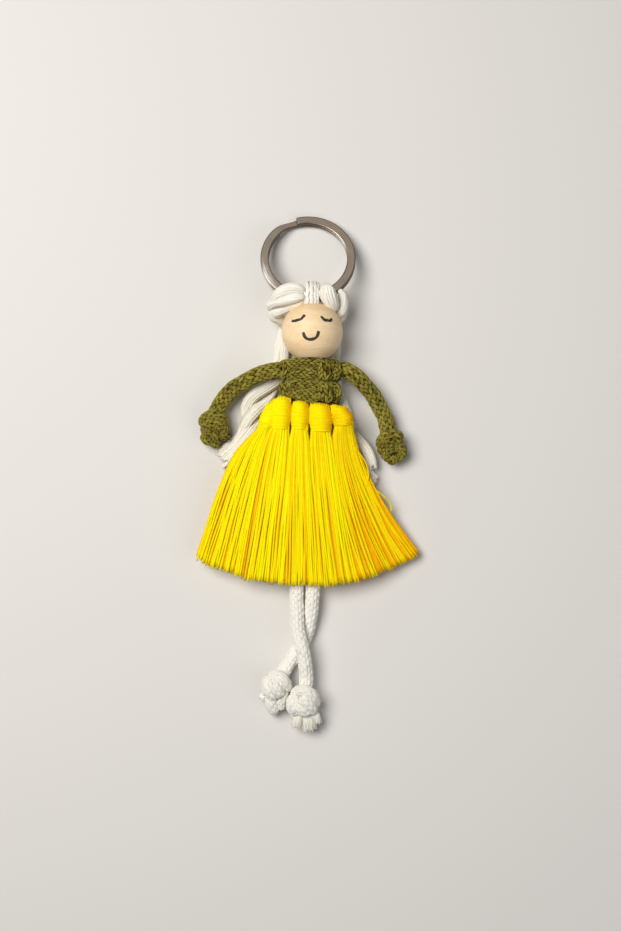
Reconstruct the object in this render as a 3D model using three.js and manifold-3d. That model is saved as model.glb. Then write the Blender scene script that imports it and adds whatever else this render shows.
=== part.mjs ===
// A macrame doll key ring lying on its back: a wooden bead head on combed hair, a knotted cord
// bodice and arms, a skirt of yarn tassels and two cord legs, hung from a split ring.
// Millimetres. +Z is up out of the surface the doll lies on, +Y runs from the feet to the ring.
// Pieces are placed about the bead: X 0, Y 0 is under its middle and Z 0 is the surface.
import * as THREE from 'three';
import { mergeVertices } from 'three/addons/utils/BufferGeometryUtils.js';
import Module from 'manifold-3d';

const wasm = await Module();
wasm.setup();

// Clearance between pieces that touch, and of a ball in its socket
const gap = 0.3;

// Wooden bead head
const beadDiameter = 20;
const beadHole = 8;
const beadHoleBevel = 0.9;
const headHeight = 12.5;

// Split ring, two turns of flat wire
const ringDiameter = 31.5;
const ringWireWidth = 2.8;
const ringWireThickness = 1.15;
const ringTurnGap = 0.1;
const ringMiddleX = -1.35;
const ringEndAngle = 105;
const ringStepLength = 26;
const ringDrop = 0.3;

// Braided cord that makes the hanging fold, the core of the body and the legs
const foldWidth = 5.2;
const foldThickness = 2.8;
const foldPlay = 0.48;
const foldMiddleX = -0.2;
const foldNeck = 0.46;
const coreSpread = 1.7;
const legDiameter = 4.6;

// Knotted bodice
const bodyWidth = 21;
const bodyDepth = 16.4;
const restingDepth = 0.5;
const bodyMiddleX = -0.65;
const bandHeight = 3.8;
const bandWall = 4.6;
const sideLoopDiameter = 3.4;

// Knitted cord arms
const armDiameter = 5.6;

// Yarn skirt: the waist line slants a little across the body, and both rows of tassels flare from
// the heads' edges at the waist to the hem's edges below
const waistSlant = 5.4;
const waistMiddle = [-0.5, -25.9];
const waistCordDiameter = 1.8;
const frontWaistHeight = 13.2;
const frontHeadDepth = 6;
const backHeadDepth = 5;
const wrapWall = 0.9;
const wrapTop = -1.2;
const wrapBottom = -7;
const hemThickness = 2;
const hemMiddle = -57.7;
const hemHeight = 9.2;
const hemSideHeight = 3.6;

// Hair
const rollThickness = 4;
const braidThickness = 3.8;

const beadRadius = beadDiameter / 2;
const beadRim = beadHole / 2 + beadHoleBevel;
const beadFlat = Math.sqrt(beadRadius ** 2 - beadRim ** 2);
const ringStack = 2 * ringWireThickness + ringTurnGap;
const ringRadius = (ringDiameter - ringWireWidth) / 2;
const foldRadius = Math.hypot(ringWireWidth, ringStack) / 2 + foldPlay + foldThickness / 2;
const ringHingeY = beadFlat + foldRadius - foldThickness / 2 + foldNeck;
const ringHingeZ = headHeight - ringDrop;

const beadWood = new THREE.MeshStandardMaterial({ color: 0xe4c08e, roughness: 0.55, metalness: 0 });
const ringSteel = new THREE.MeshStandardMaterial({ color: 0x8c8378, roughness: 0.35, metalness: 0.9 });
const creamCord = new THREE.MeshStandardMaterial({ color: 0xf2ebdc, roughness: 0.9, metalness: 0 });
const hairString = new THREE.MeshStandardMaterial({ color: 0xf7f1e4, roughness: 0.85, metalness: 0 });
const oliveCord = new THREE.MeshStandardMaterial({ color: 0x5a6420, roughness: 0.95, metalness: 0 });
const yellowYarn = new THREE.MeshStandardMaterial({ color: 0xffd800, roughness: 0.8, metalness: 0 });

const radians = THREE.MathUtils.degToRad;
const doll = new THREE.Group();

// A closed geometry as a solid, and a solid as geometry again
function solidOf(geometry) {
  const bare = geometry.clone();
  bare.deleteAttribute('normal');
  bare.deleteAttribute('uv');
  const merged = mergeVertices(bare, 1e-4);
  return new wasm.Manifold(new wasm.Mesh({
    numProp: 3,
    vertProperties: new Float32Array(merged.attributes.position.array),
    triVerts: new Uint32Array(merged.index.array)
  }));
}

function geometryOf(solid) {
  const mesh = solid.getMesh();
  const geometry = new THREE.BufferGeometry();
  geometry.setAttribute('position', new THREE.BufferAttribute(new Float32Array(mesh.vertProperties), 3));
  geometry.setIndex(new THREE.BufferAttribute(new Uint32Array(mesh.triVerts), 1));
  return geometry;
}

function addPiece(name, solid, material, group = doll) {
  const mesh = new THREE.Mesh(geometryOf(solid), material);
  mesh.name = name;
  group.add(mesh);
  return mesh;
}

// A closed surface from rows of points, each row one closed loop. The end loops are closed by a fan
// about their middle, or in flat pieces by a strip between their lower and upper halves.
function loftOf(rows, stripEnds = false) {
  const around = rows[0].length;
  const positions = [];
  const index = [];
  for (const row of rows) {
    for (const point of row) positions.push(point.x, point.y, point.z);
  }
  for (let r = 0; r < rows.length - 1; r++) {
    for (let i = 0; i < around; i++) {
      const a = r * around + i;
      const b = r * around + (i + 1) % around;
      index.push(a, b, b + around, a, b + around, a + around);
    }
  }
  [0, rows.length - 1].forEach((r, end) => {
    const face = (a, b, c) => (end === 0 ? index.push(a, c, b) : index.push(a, b, c));
    if (stripEnds) {
      for (let i = 0; i < around / 2 - 1; i++) {
        const a = r * around + i;
        const c = r * around + around - 2 - i;
        face(a, a + 1, c);
        face(a, c, c + 1);
      }
      return;
    }
    const middle = new THREE.Vector3();
    for (const point of rows[r]) middle.addScaledVector(point, 1 / around);
    const centre = positions.length / 3;
    positions.push(middle.x, middle.y, middle.z);
    for (let i = 0; i < around; i++) face(centre, r * around + i, r * around + (i + 1) % around);
  });
  const geometry = new THREE.BufferGeometry();
  geometry.setAttribute('position', new THREE.Float32BufferAttribute(positions, 3));
  geometry.setIndex(index);
  return geometry;
}

// A cord: an oval section carried along a smooth curve through the points. Its width lies flat
// unless it is given a sideways direction, and each end is round or cut flat.
function cordOf(route, {
  width, thickness = width, swell = () => 1, sides = 8, steps = 12, sideways = null,
  roundStart = true, roundEnd = true
}) {
  const curve = new THREE.CatmullRomCurve3(route.map((p) => new THREE.Vector3(...p)), false, 'centripetal');
  const rows = [];
  const addRow = (u, shift, scale) => {
    const tangent = curve.getTangentAt(u);
    const side = sideways
      ? sideways.clone().addScaledVector(tangent, -sideways.dot(tangent)).normalize()
      : new THREE.Vector3().crossVectors(new THREE.Vector3(0, 0, 1), tangent).normalize();
    const up = new THREE.Vector3().crossVectors(tangent, side);
    const middle = curve.getPointAt(u).addScaledVector(tangent, shift);
    const half = swell(u) * scale / 2;
    const row = [];
    for (let i = 0; i < sides; i++) {
      const turn = (i + 0.5) / sides * 2 * Math.PI;
      row.push(middle.clone()
        .addScaledVector(side, Math.cos(turn) * half * width)
        .addScaledVector(up, Math.sin(turn) * half * thickness));
    }
    rows.push(row);
  };
  const bulge = Math.min(width, thickness) / 2;
  const capTurns = [72, 40].map(radians);
  if (roundStart) {
    for (const turn of capTurns) addRow(0, -bulge * swell(0) * Math.sin(turn), Math.cos(turn));
  }
  for (let i = 0; i <= steps; i++) addRow(i / steps, 0, 1);
  if (roundEnd) {
    for (const turn of capTurns.toReversed()) addRow(1, bulge * swell(1) * Math.sin(turn), Math.cos(turn));
  }
  return solidOf(loftOf(rows));
}

function ballOf(centre, size, segments = 12) {
  const geometry = new THREE.SphereGeometry(1, segments, Math.round(segments * 0.7));
  geometry.scale(size[0] / 2, size[1] / 2, size[2] / 2);
  geometry.translate(...centre);
  return solidOf(geometry);
}

function ringOf(profile, segments) {
  return new THREE.LatheGeometry(profile.map((p) => new THREE.Vector2(...p)), segments);
}

function boxOf(low, high) {
  const geometry = new THREE.BoxGeometry(high[0] - low[0], high[1] - low[1], high[2] - low[2]);
  geometry.translate((low[0] + high[0]) / 2, (low[1] + high[1]) / 2, (low[2] + high[2]) / 2);
  return solidOf(geometry);
}

const belowSurface = boxOf([-60, -160, -20], [60, 60, 0]);

// Split ring: the wire starts on the front turn, steps down behind its own end after one turn
// and makes the second turn behind the first.
function splitRing() {
  const turnHeight = (ringWireThickness + ringTurnGap) / 2;
  const stepStart = 360 - ringStepLength - 2;
  const wireLength = 720 - ringStepLength - 4;
  const bevel = ringWireThickness * 0.2;
  const w = ringWireWidth / 2;
  const t = ringWireThickness / 2;
  const section = [
    [w, -t + bevel], [w, t - bevel], [w - bevel, t], [-w + bevel, t],
    [-w, t - bevel], [-w, -t + bevel], [-w + bevel, -t], [w - bevel, -t]
  ];
  const steps = 64;
  const rows = [];
  for (let i = 0; i <= steps; i++) {
    const along = wireLength * i / steps;
    const stepped = THREE.MathUtils.smoothstep(along, stepStart, stepStart + ringStepLength);
    const height = turnHeight * (1 - 2 * stepped);
    const turn = radians(ringEndAngle - along);
    rows.push(section.map(([out, up]) => new THREE.Vector3(
      Math.cos(turn) * (ringRadius + out), Math.sin(turn) * (ringRadius + out), height + up)));
  }
  return solidOf(loftOf(rows));
}

// The far edge of the ring lies on the surface and the near edge hangs in the fold
const ringReach = 2 * ringRadius + ringWireWidth / 2;
const ringTilt = Math.asin(ringHingeZ / Math.hypot(ringReach, ringStack / 2))
  - Math.atan2(ringStack / 2, ringReach);
const ringHanger = new THREE.Group();
ringHanger.position.set(ringMiddleX, ringHingeY, ringHingeZ);
ringHanger.rotation.x = -ringTilt;
doll.add(ringHanger);
addPiece('key_ring', splitRing(), ringSteel, ringHanger).position.y = ringRadius;

// Head: a ball with a bevelled hole from neck to crown
function beadHead() {
  const profile = [[beadHole / 2, beadHoleBevel - beadFlat], [beadHole / 2, beadFlat - beadHoleBevel]];
  const rimTurn = Math.asin(beadFlat / beadRadius);
  const arcSteps = 10;
  for (let i = 0; i <= arcSteps; i++) {
    const turn = rimTurn * (1 - 2 * i / arcSteps);
    profile.push([beadRadius * Math.cos(turn), beadRadius * Math.sin(turn)]);
  }
  profile.push(profile[0]);
  return solidOf(ringOf(profile.toReversed(), 24)).translate([0, 0, headHeight]);
}
const headClearance = ballOf([0, 0, headHeight], Array(3).fill(beadDiameter + 2 * gap), 22);
addPiece('head_bead', beadHead(), beadWood);

// Core cord: one cord from hip to hip, up through the bodice and the bead, folded round the ring
function coreRoute() {
  const route = [
    [-3.1, -23.2, 7.7], [-3.1, -18, 7.7], [-2.9, -14, 7.9], [-1.7, -11, 8.9], [-0.5, -8.8, 10.2],
    [foldMiddleX, -5, headHeight - coreSpread], [foldMiddleX, 0, headHeight - coreSpread],
    [foldMiddleX, 6.6, headHeight - coreSpread], [foldMiddleX, 8.4, headHeight - coreSpread - 0.4]
  ];
  for (let turn = -125; turn <= 125; turn += 25) {
    route.push([foldMiddleX, ringHingeY + foldRadius * Math.cos(radians(turn)),
      ringHingeZ + foldRadius * Math.sin(radians(turn))]);
  }
  route.push(
    [foldMiddleX, 8.4, headHeight + coreSpread + 0.4], [foldMiddleX, 6.6, headHeight + coreSpread],
    [foldMiddleX, 0, headHeight + coreSpread], [0.1, -5, headHeight + coreSpread], [0.7, -8.6, 13.6],
    [1.5, -11.2, 11.7], [2.2, -14, 9.2], [2.5, -18, 7.8], [2.5, -23.2, 7.7]);
  return route;
}
function coreOf(extra) {
  return cordOf(coreRoute(), {
    width: foldWidth + extra, thickness: foldThickness + extra, steps: 48,
    sideways: new THREE.Vector3(1, 0, 0), roundStart: false, roundEnd: false
  });
}
const coreClearance = coreOf(2 * gap);
addPiece('core_cord', coreOf(0), creamCord);

// Hair: two rolls each side of the fold, wound round the crown of the head and down behind it
const rollRoutes = {
  hair_left_front: {
    route: [[-3.1, 13.2, 16.5], [-5.9, 13.4, 16.7], [-8.2, 13.2, 16.5], [-10.5, 12.3, 15.5],
      [-12.2, 10.9, 13.3], [-13.4, 9, 10.8], [-13.7, 7.2, 8.6], [-13, 5.6, 6.5]],
    width: 4.8, roundStart: false
  },
  hair_left_side: {
    route: [[-3.1, 10, 16.8], [-4.9, 9.9, 16.6], [-7.7, 9.4, 14.6], [-10.2, 8, 11.6],
      [-11.6, 5.8, 8.4], [-11.2, 4.2, 5.6]],
    width: 4.6, roundStart: false
  },
  hair_right_front: {
    route: [[2.7, 12.7, 16.6], [4.4, 12.6, 16.9], [5.7, 11.3, 16.5], [6.5, 9.2, 15.2], [7.8, 7.3, 12.8]],
    width: 5.2, roundStart: false
  },
  hair_right_side: {
    route: [[7.2, 14.4, 15.4], [9.1, 12.7, 14.4], [10.4, 10.6, 12.6], [10.9, 8, 10],
      [10.3, 5.6, 7.5], [9, 3.9, 5.4]],
    width: 4.2, roundStart: true
  }
};

// Hair behind the head: a flat pad that the bead lies on, and two braids hinged beside it
const padSize = [12.4, 14, 4];
const padMiddle = [-1.8, 0.5, 0.2];
const leftBraid = {
  route: [[-10.6, 0.6, 2.3], [-10.8, -3, 2.2], [-11.1, -6.5, 2.1], [-11.2, -10, 2.1], [-11.9, -13.4, 2.1],
    [-13.6, -17, 2.1], [-16, -19.6, 2.1], [-18.6, -21.9, 2.1], [-20.7, -24.8, 2.1], [-21.2, -28.3, 2.1],
    [-21.5, -31.3, 2.1], [-22.9, -34.6, 2.1], [-25.2, -37.2, 2.1], [-28.2, -39.8, 2.1], [-30, -41.5, 2]],
  width: 5.6,
  swell: (u) => 0.84 + 0.28 * Math.sin(Math.PI * Math.min(1, u * 1.15)) - 0.1 * u
};
const rightBraid = {
  route: [[7.6, 1.6, 2.2], [7.3, -2, 2.1], [7.3, -8.5, 2.1], [7.7, -13.6, 2.1], [8.3, -17.9, 2.1],
    [9.3, -21.2, 2.1], [10.5, -24.9, 2.1], [11.7, -28.6, 2.1], [12.9, -32.3, 2.1], [14.5, -36, 2.1],
    [16.7, -39.3, 2.1], [18.7, -42.3, 2.1], [20.1, -45.3, 2.1], [20.7, -48, 2.1]],
  width: 4.8,
  swell: () => 1
};
function braidOf({ route, width, swell }, extra = 0) {
  return cordOf(route, { width: width + extra, thickness: braidThickness + extra, swell, steps: 22 });
}
addPiece('left_braid', braidOf(leftBraid), hairString);
addPiece('right_braid', braidOf(rightBraid), hairString);
const leftBraidClearance = braidOf(leftBraid, 2 * gap);
const rightBraidClearance = braidOf(rightBraid, 2 * gap);

let hairClearance = headClearance.add(leftBraidClearance).add(rightBraidClearance);
const pad = ballOf(padMiddle, padSize, 20).subtract(belowSurface).subtract(hairClearance);
addPiece('back_hair', pad, hairString);
for (const [name, { route, width, roundStart }] of Object.entries(rollRoutes)) {
  const rollOf = (extra) => cordOf(route, {
    width: width + extra, thickness: rollThickness + extra, steps: 10, roundStart
  });
  addPiece(name, rollOf(0).subtract(hairClearance), hairString);
  hairClearance = hairClearance.add(rollOf(2 * gap));
}

// Bodice: four bands of cord round the core, two to each knot, with the knots' side loops
const bandMiddles = [[-10.85, -1], [-14.3, -2.5], [-17.6, -4], [-20.5, -waistSlant]];
const knotSplit = [-16.05, -3.2];
function bandOf([middleY, slant]) {
  const outer = bodyWidth / 2;
  const middle = outer - bandWall / 2;
  const profile = [];
  for (let i = 0; i < 8; i++) {
    const turn = (i + 0.5) / 8 * 2 * Math.PI;
    profile.push([middle + Math.cos(turn) * bandWall / 2 / Math.cos(Math.PI / 8),
      Math.sin(turn) * bandHeight / 2 / Math.cos(Math.PI / 8)]);
  }
  profile.push(profile[0]);
  return solidOf(ringOf(profile, 16))
    .scale([1, 1, bodyDepth / bodyWidth])
    .rotate([0, 0, slant])
    .translate([bodyMiddleX, middleY, bodyDepth / 2 - restingDepth]);
}
function sideLoopOf(side, topY, bottomY) {
  const middleY = (topY + bottomY) / 2;
  const reach = bodyWidth / 2 - sideLoopDiameter / 2 - gap;
  const route = [[0.72, topY, 13.2], [0.95, topY - 0.4, 11.8], [1, middleY, 10.8], [0.95, bottomY + 0.4, 11.8],
    [0.72, bottomY, 13.2]];
  return cordOf(route.map(([out, y, z]) => [bodyMiddleX + side * out * reach, y, z]),
    { width: sideLoopDiameter, steps: 6, sides: 6 });
}

const leftShoulder = [-12.9, -12.5, 8.6];
const rightShoulder = [11.6, -12.6, 8.6];
const socketDiameter = armDiameter + 2 * gap;
let bodiceClearance = headClearance.add(leftBraidClearance).add(rightBraidClearance).add(coreClearance)
  .add(belowSurface);
for (const shoulder of [leftShoulder, rightShoulder]) {
  bodiceClearance = bodiceClearance.add(ballOf(shoulder, Array(3).fill(socketDiameter), 14));
}
// The half of the bodice above (1) or below (-1) the line where the two knots meet
function rowOf(side) {
  const [y, slant] = knotSplit;
  return boxOf([-20, Math.min(0, side * 20), -5], [20, Math.max(0, side * 20), 25])
    .translate([0, side * gap / 2, 0])
    .rotate([0, 0, slant])
    .translate([bodyMiddleX, y, 0]);
}
const bodiceKnots = [
  { name: 'upper_bodice_knot', bands: bandMiddles.slice(0, 2), half: 1, loopTop: -12.3, loopBottom: -14.5 },
  { name: 'lower_bodice_knot', bands: bandMiddles.slice(2), half: -1, loopTop: -17.9, loopBottom: -19.4 }
];
for (const { name, bands, half, loopTop, loopBottom } of bodiceKnots) {
  const knot = bandOf(bands[0]).add(bandOf(bands[1]))
    .add(sideLoopOf(-1, loopTop, loopBottom))
    .add(sideLoopOf(1, loopTop, loopBottom))
    .intersect(rowOf(half))
    .subtract(bodiceClearance);
  addPiece(name, knot, oliveCord);
}

// A knot: a ball of cord with one turn drawn round it
function knotOf(middle, size, wrapTurn) {
  const wrap = new THREE.TorusGeometry(0.34, 0.17, 6, 10);
  wrap.scale(size[0] * 0.98, size[1] * 0.98, size[2] * 1.5);
  wrap.rotateX(radians(18));
  wrap.rotateZ(radians(wrapTurn));
  wrap.translate(middle[0], middle[1], middle[2] + size[2] * 0.18);
  const body = ballOf(middle, [size[0] * 0.96, size[1] * 0.96, size[2]], 11);
  return body.add(solidOf(wrap)).subtract(belowSurface);
}

// Arms: a knitted cord from each shoulder, ending in a knot for the hand
const arms = {
  left: {
    route: [leftShoulder, [-15.2, -13, 8.5], [-17.4, -13.7, 8.3], [-19.7, -14.7, 8], [-22.7, -16.3, 7.2],
      [-25.6, -18, 6.4], [-28.1, -20.2, 5.7], [-30.1, -22.9, 5.2], [-31.6, -25.4, 5]],
    hand: { middle: [-33, -31.2, 5], size: [9.2, 11.2, 9.6], wrapTurn: -20 },
    tail: { route: [[-32, -33, 4], [-31.2, -35.6, 3.6], [-30.8, -36.8, 3.4]], width: 4.6 }
  },
  right: {
    route: [rightShoulder, [13.7, -13.7, 8.5], [15.7, -15.3, 8.2], [17.2, -17.2, 7.6], [19.2, -19.3, 7],
      [20.7, -21.3, 6.4], [21.9, -23.6, 5.8], [23.2, -25.9, 5.4], [24.3, -28.2, 5.2],
      [24.9, -30.8, 5.2], [25.3, -33, 5.2]],
    hand: { middle: [26.1, -37.7, 5.1], size: [10.2, 11, 10], wrapTurn: 35 },
    tail: { route: [[26.3, -39.5, 4], [26.6, -42, 3.4], [26.7, -43.6, 3]], width: 5 }
  }
};
function limbOf(route, diameter) {
  return cordOf(route, { width: diameter, steps: 12, roundEnd: false });
}
for (const [side, { route, hand, tail }] of Object.entries(arms)) {
  addPiece(`${side}_arm`, limbOf(route, armDiameter), oliveCord);
  const fist = knotOf(hand.middle, hand.size, hand.wrapTurn)
    .add(cordOf(tail.route, { width: tail.width, thickness: tail.width * 0.8, steps: 3 }))
    .subtract(belowSurface)
    .subtract(leftBraidClearance)
    .subtract(cordOf(route, { width: armDiameter + 2 * gap, steps: 12 }));
  addPiece(`${side}_hand`, fist, oliveCord);
}

// Skirt: everything here is built along the slanted waist line, with y running down the skirt
const waist = new THREE.Group();
waist.position.set(waistMiddle[0], waistMiddle[1], 0);
waist.rotation.z = -radians(waistSlant);
doll.add(waist);
const backWaistHeight = backHeadDepth / 2 - restingDepth / 2;
const frontEdges = [-16.4, -12.9, -6.2, 0.1, 7, 14.4];
const frontHemEdges = [-33.5, -19.1, -5, 8.4, 20.6, 40.5];
const frontFlare = [0.56, 0.75, 0.9, 1.05, 1.2, 1.45];
const backEdges = [-13, -8.2, -3.4, 1.4, 6.2];
const backHemEdges = [-31.5, -16, -1, 14, 35];
const backFlare = [0.8, 0.9, 1, 1.15, 1.6];
const hemRise = 13.5;
const hemLowestX = -3;
const hemReach = 43.5;

function hemLine(x) {
  return hemMiddle + hemRise * (Math.abs(x - hemLowestX) / hemReach) ** 2.5;
}

// Each head is bound round its bundle of yarn, a little fuller at its middle
function wrapOf(left, right, depth, height) {
  const inner = 1 - 2 * wrapWall / depth;
  const profile = [
    [inner, wrapTop], [inner, wrapBottom], [0.94, wrapBottom], [1, (wrapTop + wrapBottom) / 2], [0.94, wrapTop],
    [inner, wrapTop]
  ];
  return solidOf(ringOf(profile, 12))
    .scale([(right - left - gap) / 2, 1, depth / 2])
    .translate([(left + right) / 2, 0, height])
    .subtract(belowSurface);
}

// A tassel's yarn: looped over the waist cord, bound by the head, then spread in a ribbed fan
function fringeOf({ edges, hemEdges, flare, k, depth, height, heightAt, flatBack }) {
  const [left, right] = [edges[k], edges[k + 1]];
  const inside = 1 - 2 * wrapWall / depth;
  const bundleWidth = (right - left - gap) * inside - 2 * gap;
  const bundleDepth = depth * inside - 2 * gap;
  const middle = (left + right) / 2;
  const loop = new THREE.CylinderGeometry(depth / 2 - 0.05, depth / 2 - 0.05, right - left - gap - 0.2, 14);
  loop.rotateZ(Math.PI / 2);
  loop.translate(middle, 0, height);
  const bundle = cordOf([[middle, 0, height], [middle, wrapBottom - 1.5, height]], {
    width: bundleWidth, thickness: bundleDepth, steps: 1, sides: 10, roundStart: false, roundEnd: false
  });
  const bore = new THREE.CylinderGeometry(waistCordDiameter / 2 + gap, waistCordDiameter / 2 + gap, 12, 10);
  bore.rotateZ(Math.PI / 2);
  bore.translate(middle, 0, height);
  const aboveWrap = boxOf([left - 1, wrapTop + gap, -1], [right + 1, depth, height + depth]);
  const fanTop = wrapBottom - gap;
  const rowCount = 7;
  const across = 9;
  const rows = [];
  for (let r = 0; r < rowCount; r++) {
    const s = r / (rowCount - 1);
    const upper = [];
    const lower = [];
    for (let i = 0; i < across; i++) {
      const v = i / (across - 1);
      const hemX = THREE.MathUtils.lerp(hemEdges[k] + gap / 2, hemEdges[k + 1] - gap / 2, v);
      const neckX = THREE.MathUtils.lerp(left + gap / 2, right - gap / 2, v);
      const x = neckX + (hemX - neckX) * s ** THREE.MathUtils.lerp(flare[k], flare[k + 1], v);
      const y = fanTop + (hemLine(hemX) - fanTop) * s;
      const edge = Math.min(1, 6 * v * (1 - v) + 0.45);
      const rib = 0.16 * (i % 2);
      const half = THREE.MathUtils.lerp(depth / 2 - 0.7, hemThickness / 2, Math.sqrt(s)) * edge;
      const middleZ = heightAt(hemX, s);
      upper.push(new THREE.Vector3(x, y, (flatBack ? 2 * half : middleZ + half) + rib));
      lower.push(new THREE.Vector3(x, y, flatBack ? 0 : middleZ - half));
    }
    rows.push([...upper, ...lower.toReversed()].toReversed());
  }
  return solidOf(loftOf(rows, true))
    .add(bundle)
    .add(solidOf(loop).intersect(aboveWrap))
    .subtract(solidOf(bore))
    .subtract(belowSurface);
}

// The front of the skirt is a tent over the legs: high along its middle, low along its sides
function frontHeight(hemX, s) {
  const side = frontWaistHeight + (hemSideHeight - frontWaistHeight) * s ** 0.55;
  const ridge = frontWaistHeight + (hemHeight - frontWaistHeight) * s ** 0.7;
  const out = Math.min(1, Math.abs(hemX - hemLowestX) / hemReach * 1.12);
  return THREE.MathUtils.lerp(ridge, side, out ** 3);
}
for (let k = 0; k < frontEdges.length - 1; k++) {
  addPiece(`front_wrap_${k + 1}`,
    wrapOf(frontEdges[k], frontEdges[k + 1], frontHeadDepth, frontWaistHeight), yellowYarn, waist);
  addPiece(`front_fringe_${k + 1}`, fringeOf({
    edges: frontEdges, hemEdges: frontHemEdges, flare: frontFlare, k, depth: frontHeadDepth,
    height: frontWaistHeight, heightAt: frontHeight, flatBack: false
  }), yellowYarn, waist);
}
for (let k = 0; k < backEdges.length - 1; k++) {
  addPiece(`back_wrap_${k + 1}`,
    wrapOf(backEdges[k], backEdges[k + 1], backHeadDepth, backWaistHeight), yellowYarn, waist);
  addPiece(`back_fringe_${k + 1}`, fringeOf({
    edges: backEdges, hemEdges: backHemEdges, flare: backFlare, k, depth: backHeadDepth,
    height: backWaistHeight, heightAt: () => backWaistHeight, flatBack: true
  }), yellowYarn, waist);
}

// Waist cord: a closed loop that carries the front heads, and the back heads under the legs
const waistCordCorners = [
  [backEdges[0] - 1.5, backWaistHeight], [backEdges.at(-1) + 1.5, backWaistHeight],
  [backEdges.at(-1) + 1.5, 5.6], [frontEdges.at(-1) + 1.4, 8], [frontEdges.at(-1) + 1.4, frontWaistHeight],
  [frontEdges[0] - 1.3, frontWaistHeight], [frontEdges[0] - 1.3, 8], [backEdges[0] - 1.5, 5.6]
];
function waistCord() {
  const bend = 1.4;
  const corners = waistCordCorners.map((p) => new THREE.Vector2(...p));
  const outline = new THREE.Path();
  corners.forEach((corner, i) => {
    const before = corners.at(i - 1).clone().sub(corner).setLength(bend).add(corner);
    const after = corners[(i + 1) % corners.length].clone().sub(corner).setLength(bend).add(corner);
    if (i === 0) outline.moveTo(before.x, before.y);
    else outline.lineTo(before.x, before.y);
    outline.quadraticCurveTo(corner.x, corner.y, after.x, after.y);
  });
  const rings = outline.getPoints(3);
  const positions = [];
  const index = [];
  const sides = 6;
  const count = rings.length * sides;
  rings.forEach((point, i) => {
    const tangent = rings[(i + 1) % rings.length].clone().sub(rings.at(i - 1)).normalize();
    for (let j = 0; j < sides; j++) {
      const turn = j / sides * 2 * Math.PI;
      const out = Math.cos(turn) * waistCordDiameter / 2;
      positions.push(point.x + tangent.y * out, Math.sin(turn) * waistCordDiameter / 2, point.y - tangent.x * out);
      const a = i * sides + j;
      const b = i * sides + (j + 1) % sides;
      index.push(a, b, (b + sides) % count, a, (b + sides) % count, (a + sides) % count);
    }
  });
  const geometry = new THREE.BufferGeometry();
  geometry.setAttribute('position', new THREE.Float32BufferAttribute(positions, 3));
  geometry.setIndex(index);
  return solidOf(geometry);
}
addPiece('waist_cord', waistCord(), yellowYarn, waist);

// Legs: two cords from the hips to a bend below the hem, then one crosses over the other
const kneeSocket = legDiameter + 2 * gap;
const legs = {
  over: {
    knee: [-5.2, -88.6, 4.9],
    upper: [[-3, -26.1, 7.6], [-3.1, -32, 7.6], [-3.4, -42, 6.6], [-3.9, -55, 5.3],
      [-4.5, -70, 4.9], [-5, -82, 4.9]],
    lower: [[-5, -92.5, 5.2], [-4.7, -98.4, 6.5], [-3.7, -102.6, 7.4], [-2.8, -106.6, 7.2],
      [-2.2, -110.7, 6.6], [-2, -114.7, 6], [-2.2, -118.2, 5.7]],
    foot: { middle: [-2.8, -122.2, 5.6], size: [11.2, 10.8, 10.8], wrapTurn: -25 },
    tails: [
      { route: [[-2.8, -125.5, 3.4], [-2.3, -129, 2.6], [-2, -131.6, 2.4]], width: 6, thickness: 4 },
      { route: [[-3.4, -126, 3], [-4.6, -129, 2.4], [-5, -130.4, 2.3]], width: 3.6, thickness: 3.4 },
      { route: [[-1.6, -126, 3], [0.6, -129, 2.4], [1.1, -130, 2.3]], width: 3.6, thickness: 3.4 }
    ]
  },
  under: {
    knee: [0.1, -88.6, 4.9],
    upper: [[2.8, -26.1, 7.6], [2.6, -32, 7.6], [2.2, -42, 6.6], [1.7, -55, 5.3],
      [0.9, -70, 4.9], [0.3, -82, 4.9]],
    lower: [[-0.3, -93, 3.8], [-1.4, -98.8, 2.6], [-3.2, -103.2, 2.35], [-5.4, -106.5, 2.35],
      [-7.7, -109.7, 2.8], [-9.5, -112.4, 3.9], [-10.6, -114.2, 4.7]],
    foot: { middle: [-11.8, -117, 5.2], size: [9.2, 10.4, 9.8], wrapTurn: 30 },
    tails: [
      { route: [[-14, -119.5, 2.6], [-16, -121.8, 2.2]], width: 3.4, thickness: 3.4 },
      { route: [[-12, -121, 3], [-12, -124, 2.6], [-12, -125.8, 2.4]], width: 6, thickness: 4 }
    ]
  }
};
for (const [name, { knee, upper, lower, foot, tails }] of Object.entries(legs)) {
  const thigh = cordOf([...upper, knee], { width: legDiameter, steps: 10, roundEnd: false })
    .subtract(ballOf(knee, Array(3).fill(kneeSocket), 16));
  addPiece(`${name}_leg_upper`, thigh, creamCord);
  addPiece(`${name}_leg_lower`, limbOf([knee, ...lower], legDiameter), creamCord);
  let knot = knotOf(foot.middle, foot.size, foot.wrapTurn);
  for (const { route, width, thickness } of tails) knot = knot.add(cordOf(route, { width, thickness, steps: 3 }));
  knot = knot.subtract(belowSurface)
    .subtract(cordOf([knee, ...lower], { width: legDiameter + 2 * gap, steps: 12 }));
  addPiece(`${name}_foot_knot`, knot, creamCord);
}

// The origin is the middle of the doll's underside
doll.updateMatrixWorld(true);
const bounds = new THREE.Box3().setFromObject(doll, true);
const centre = bounds.getCenter(new THREE.Vector3());
doll.position.set(-centre.x, -centre.y, -bounds.min.z);

export default doll;
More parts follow.
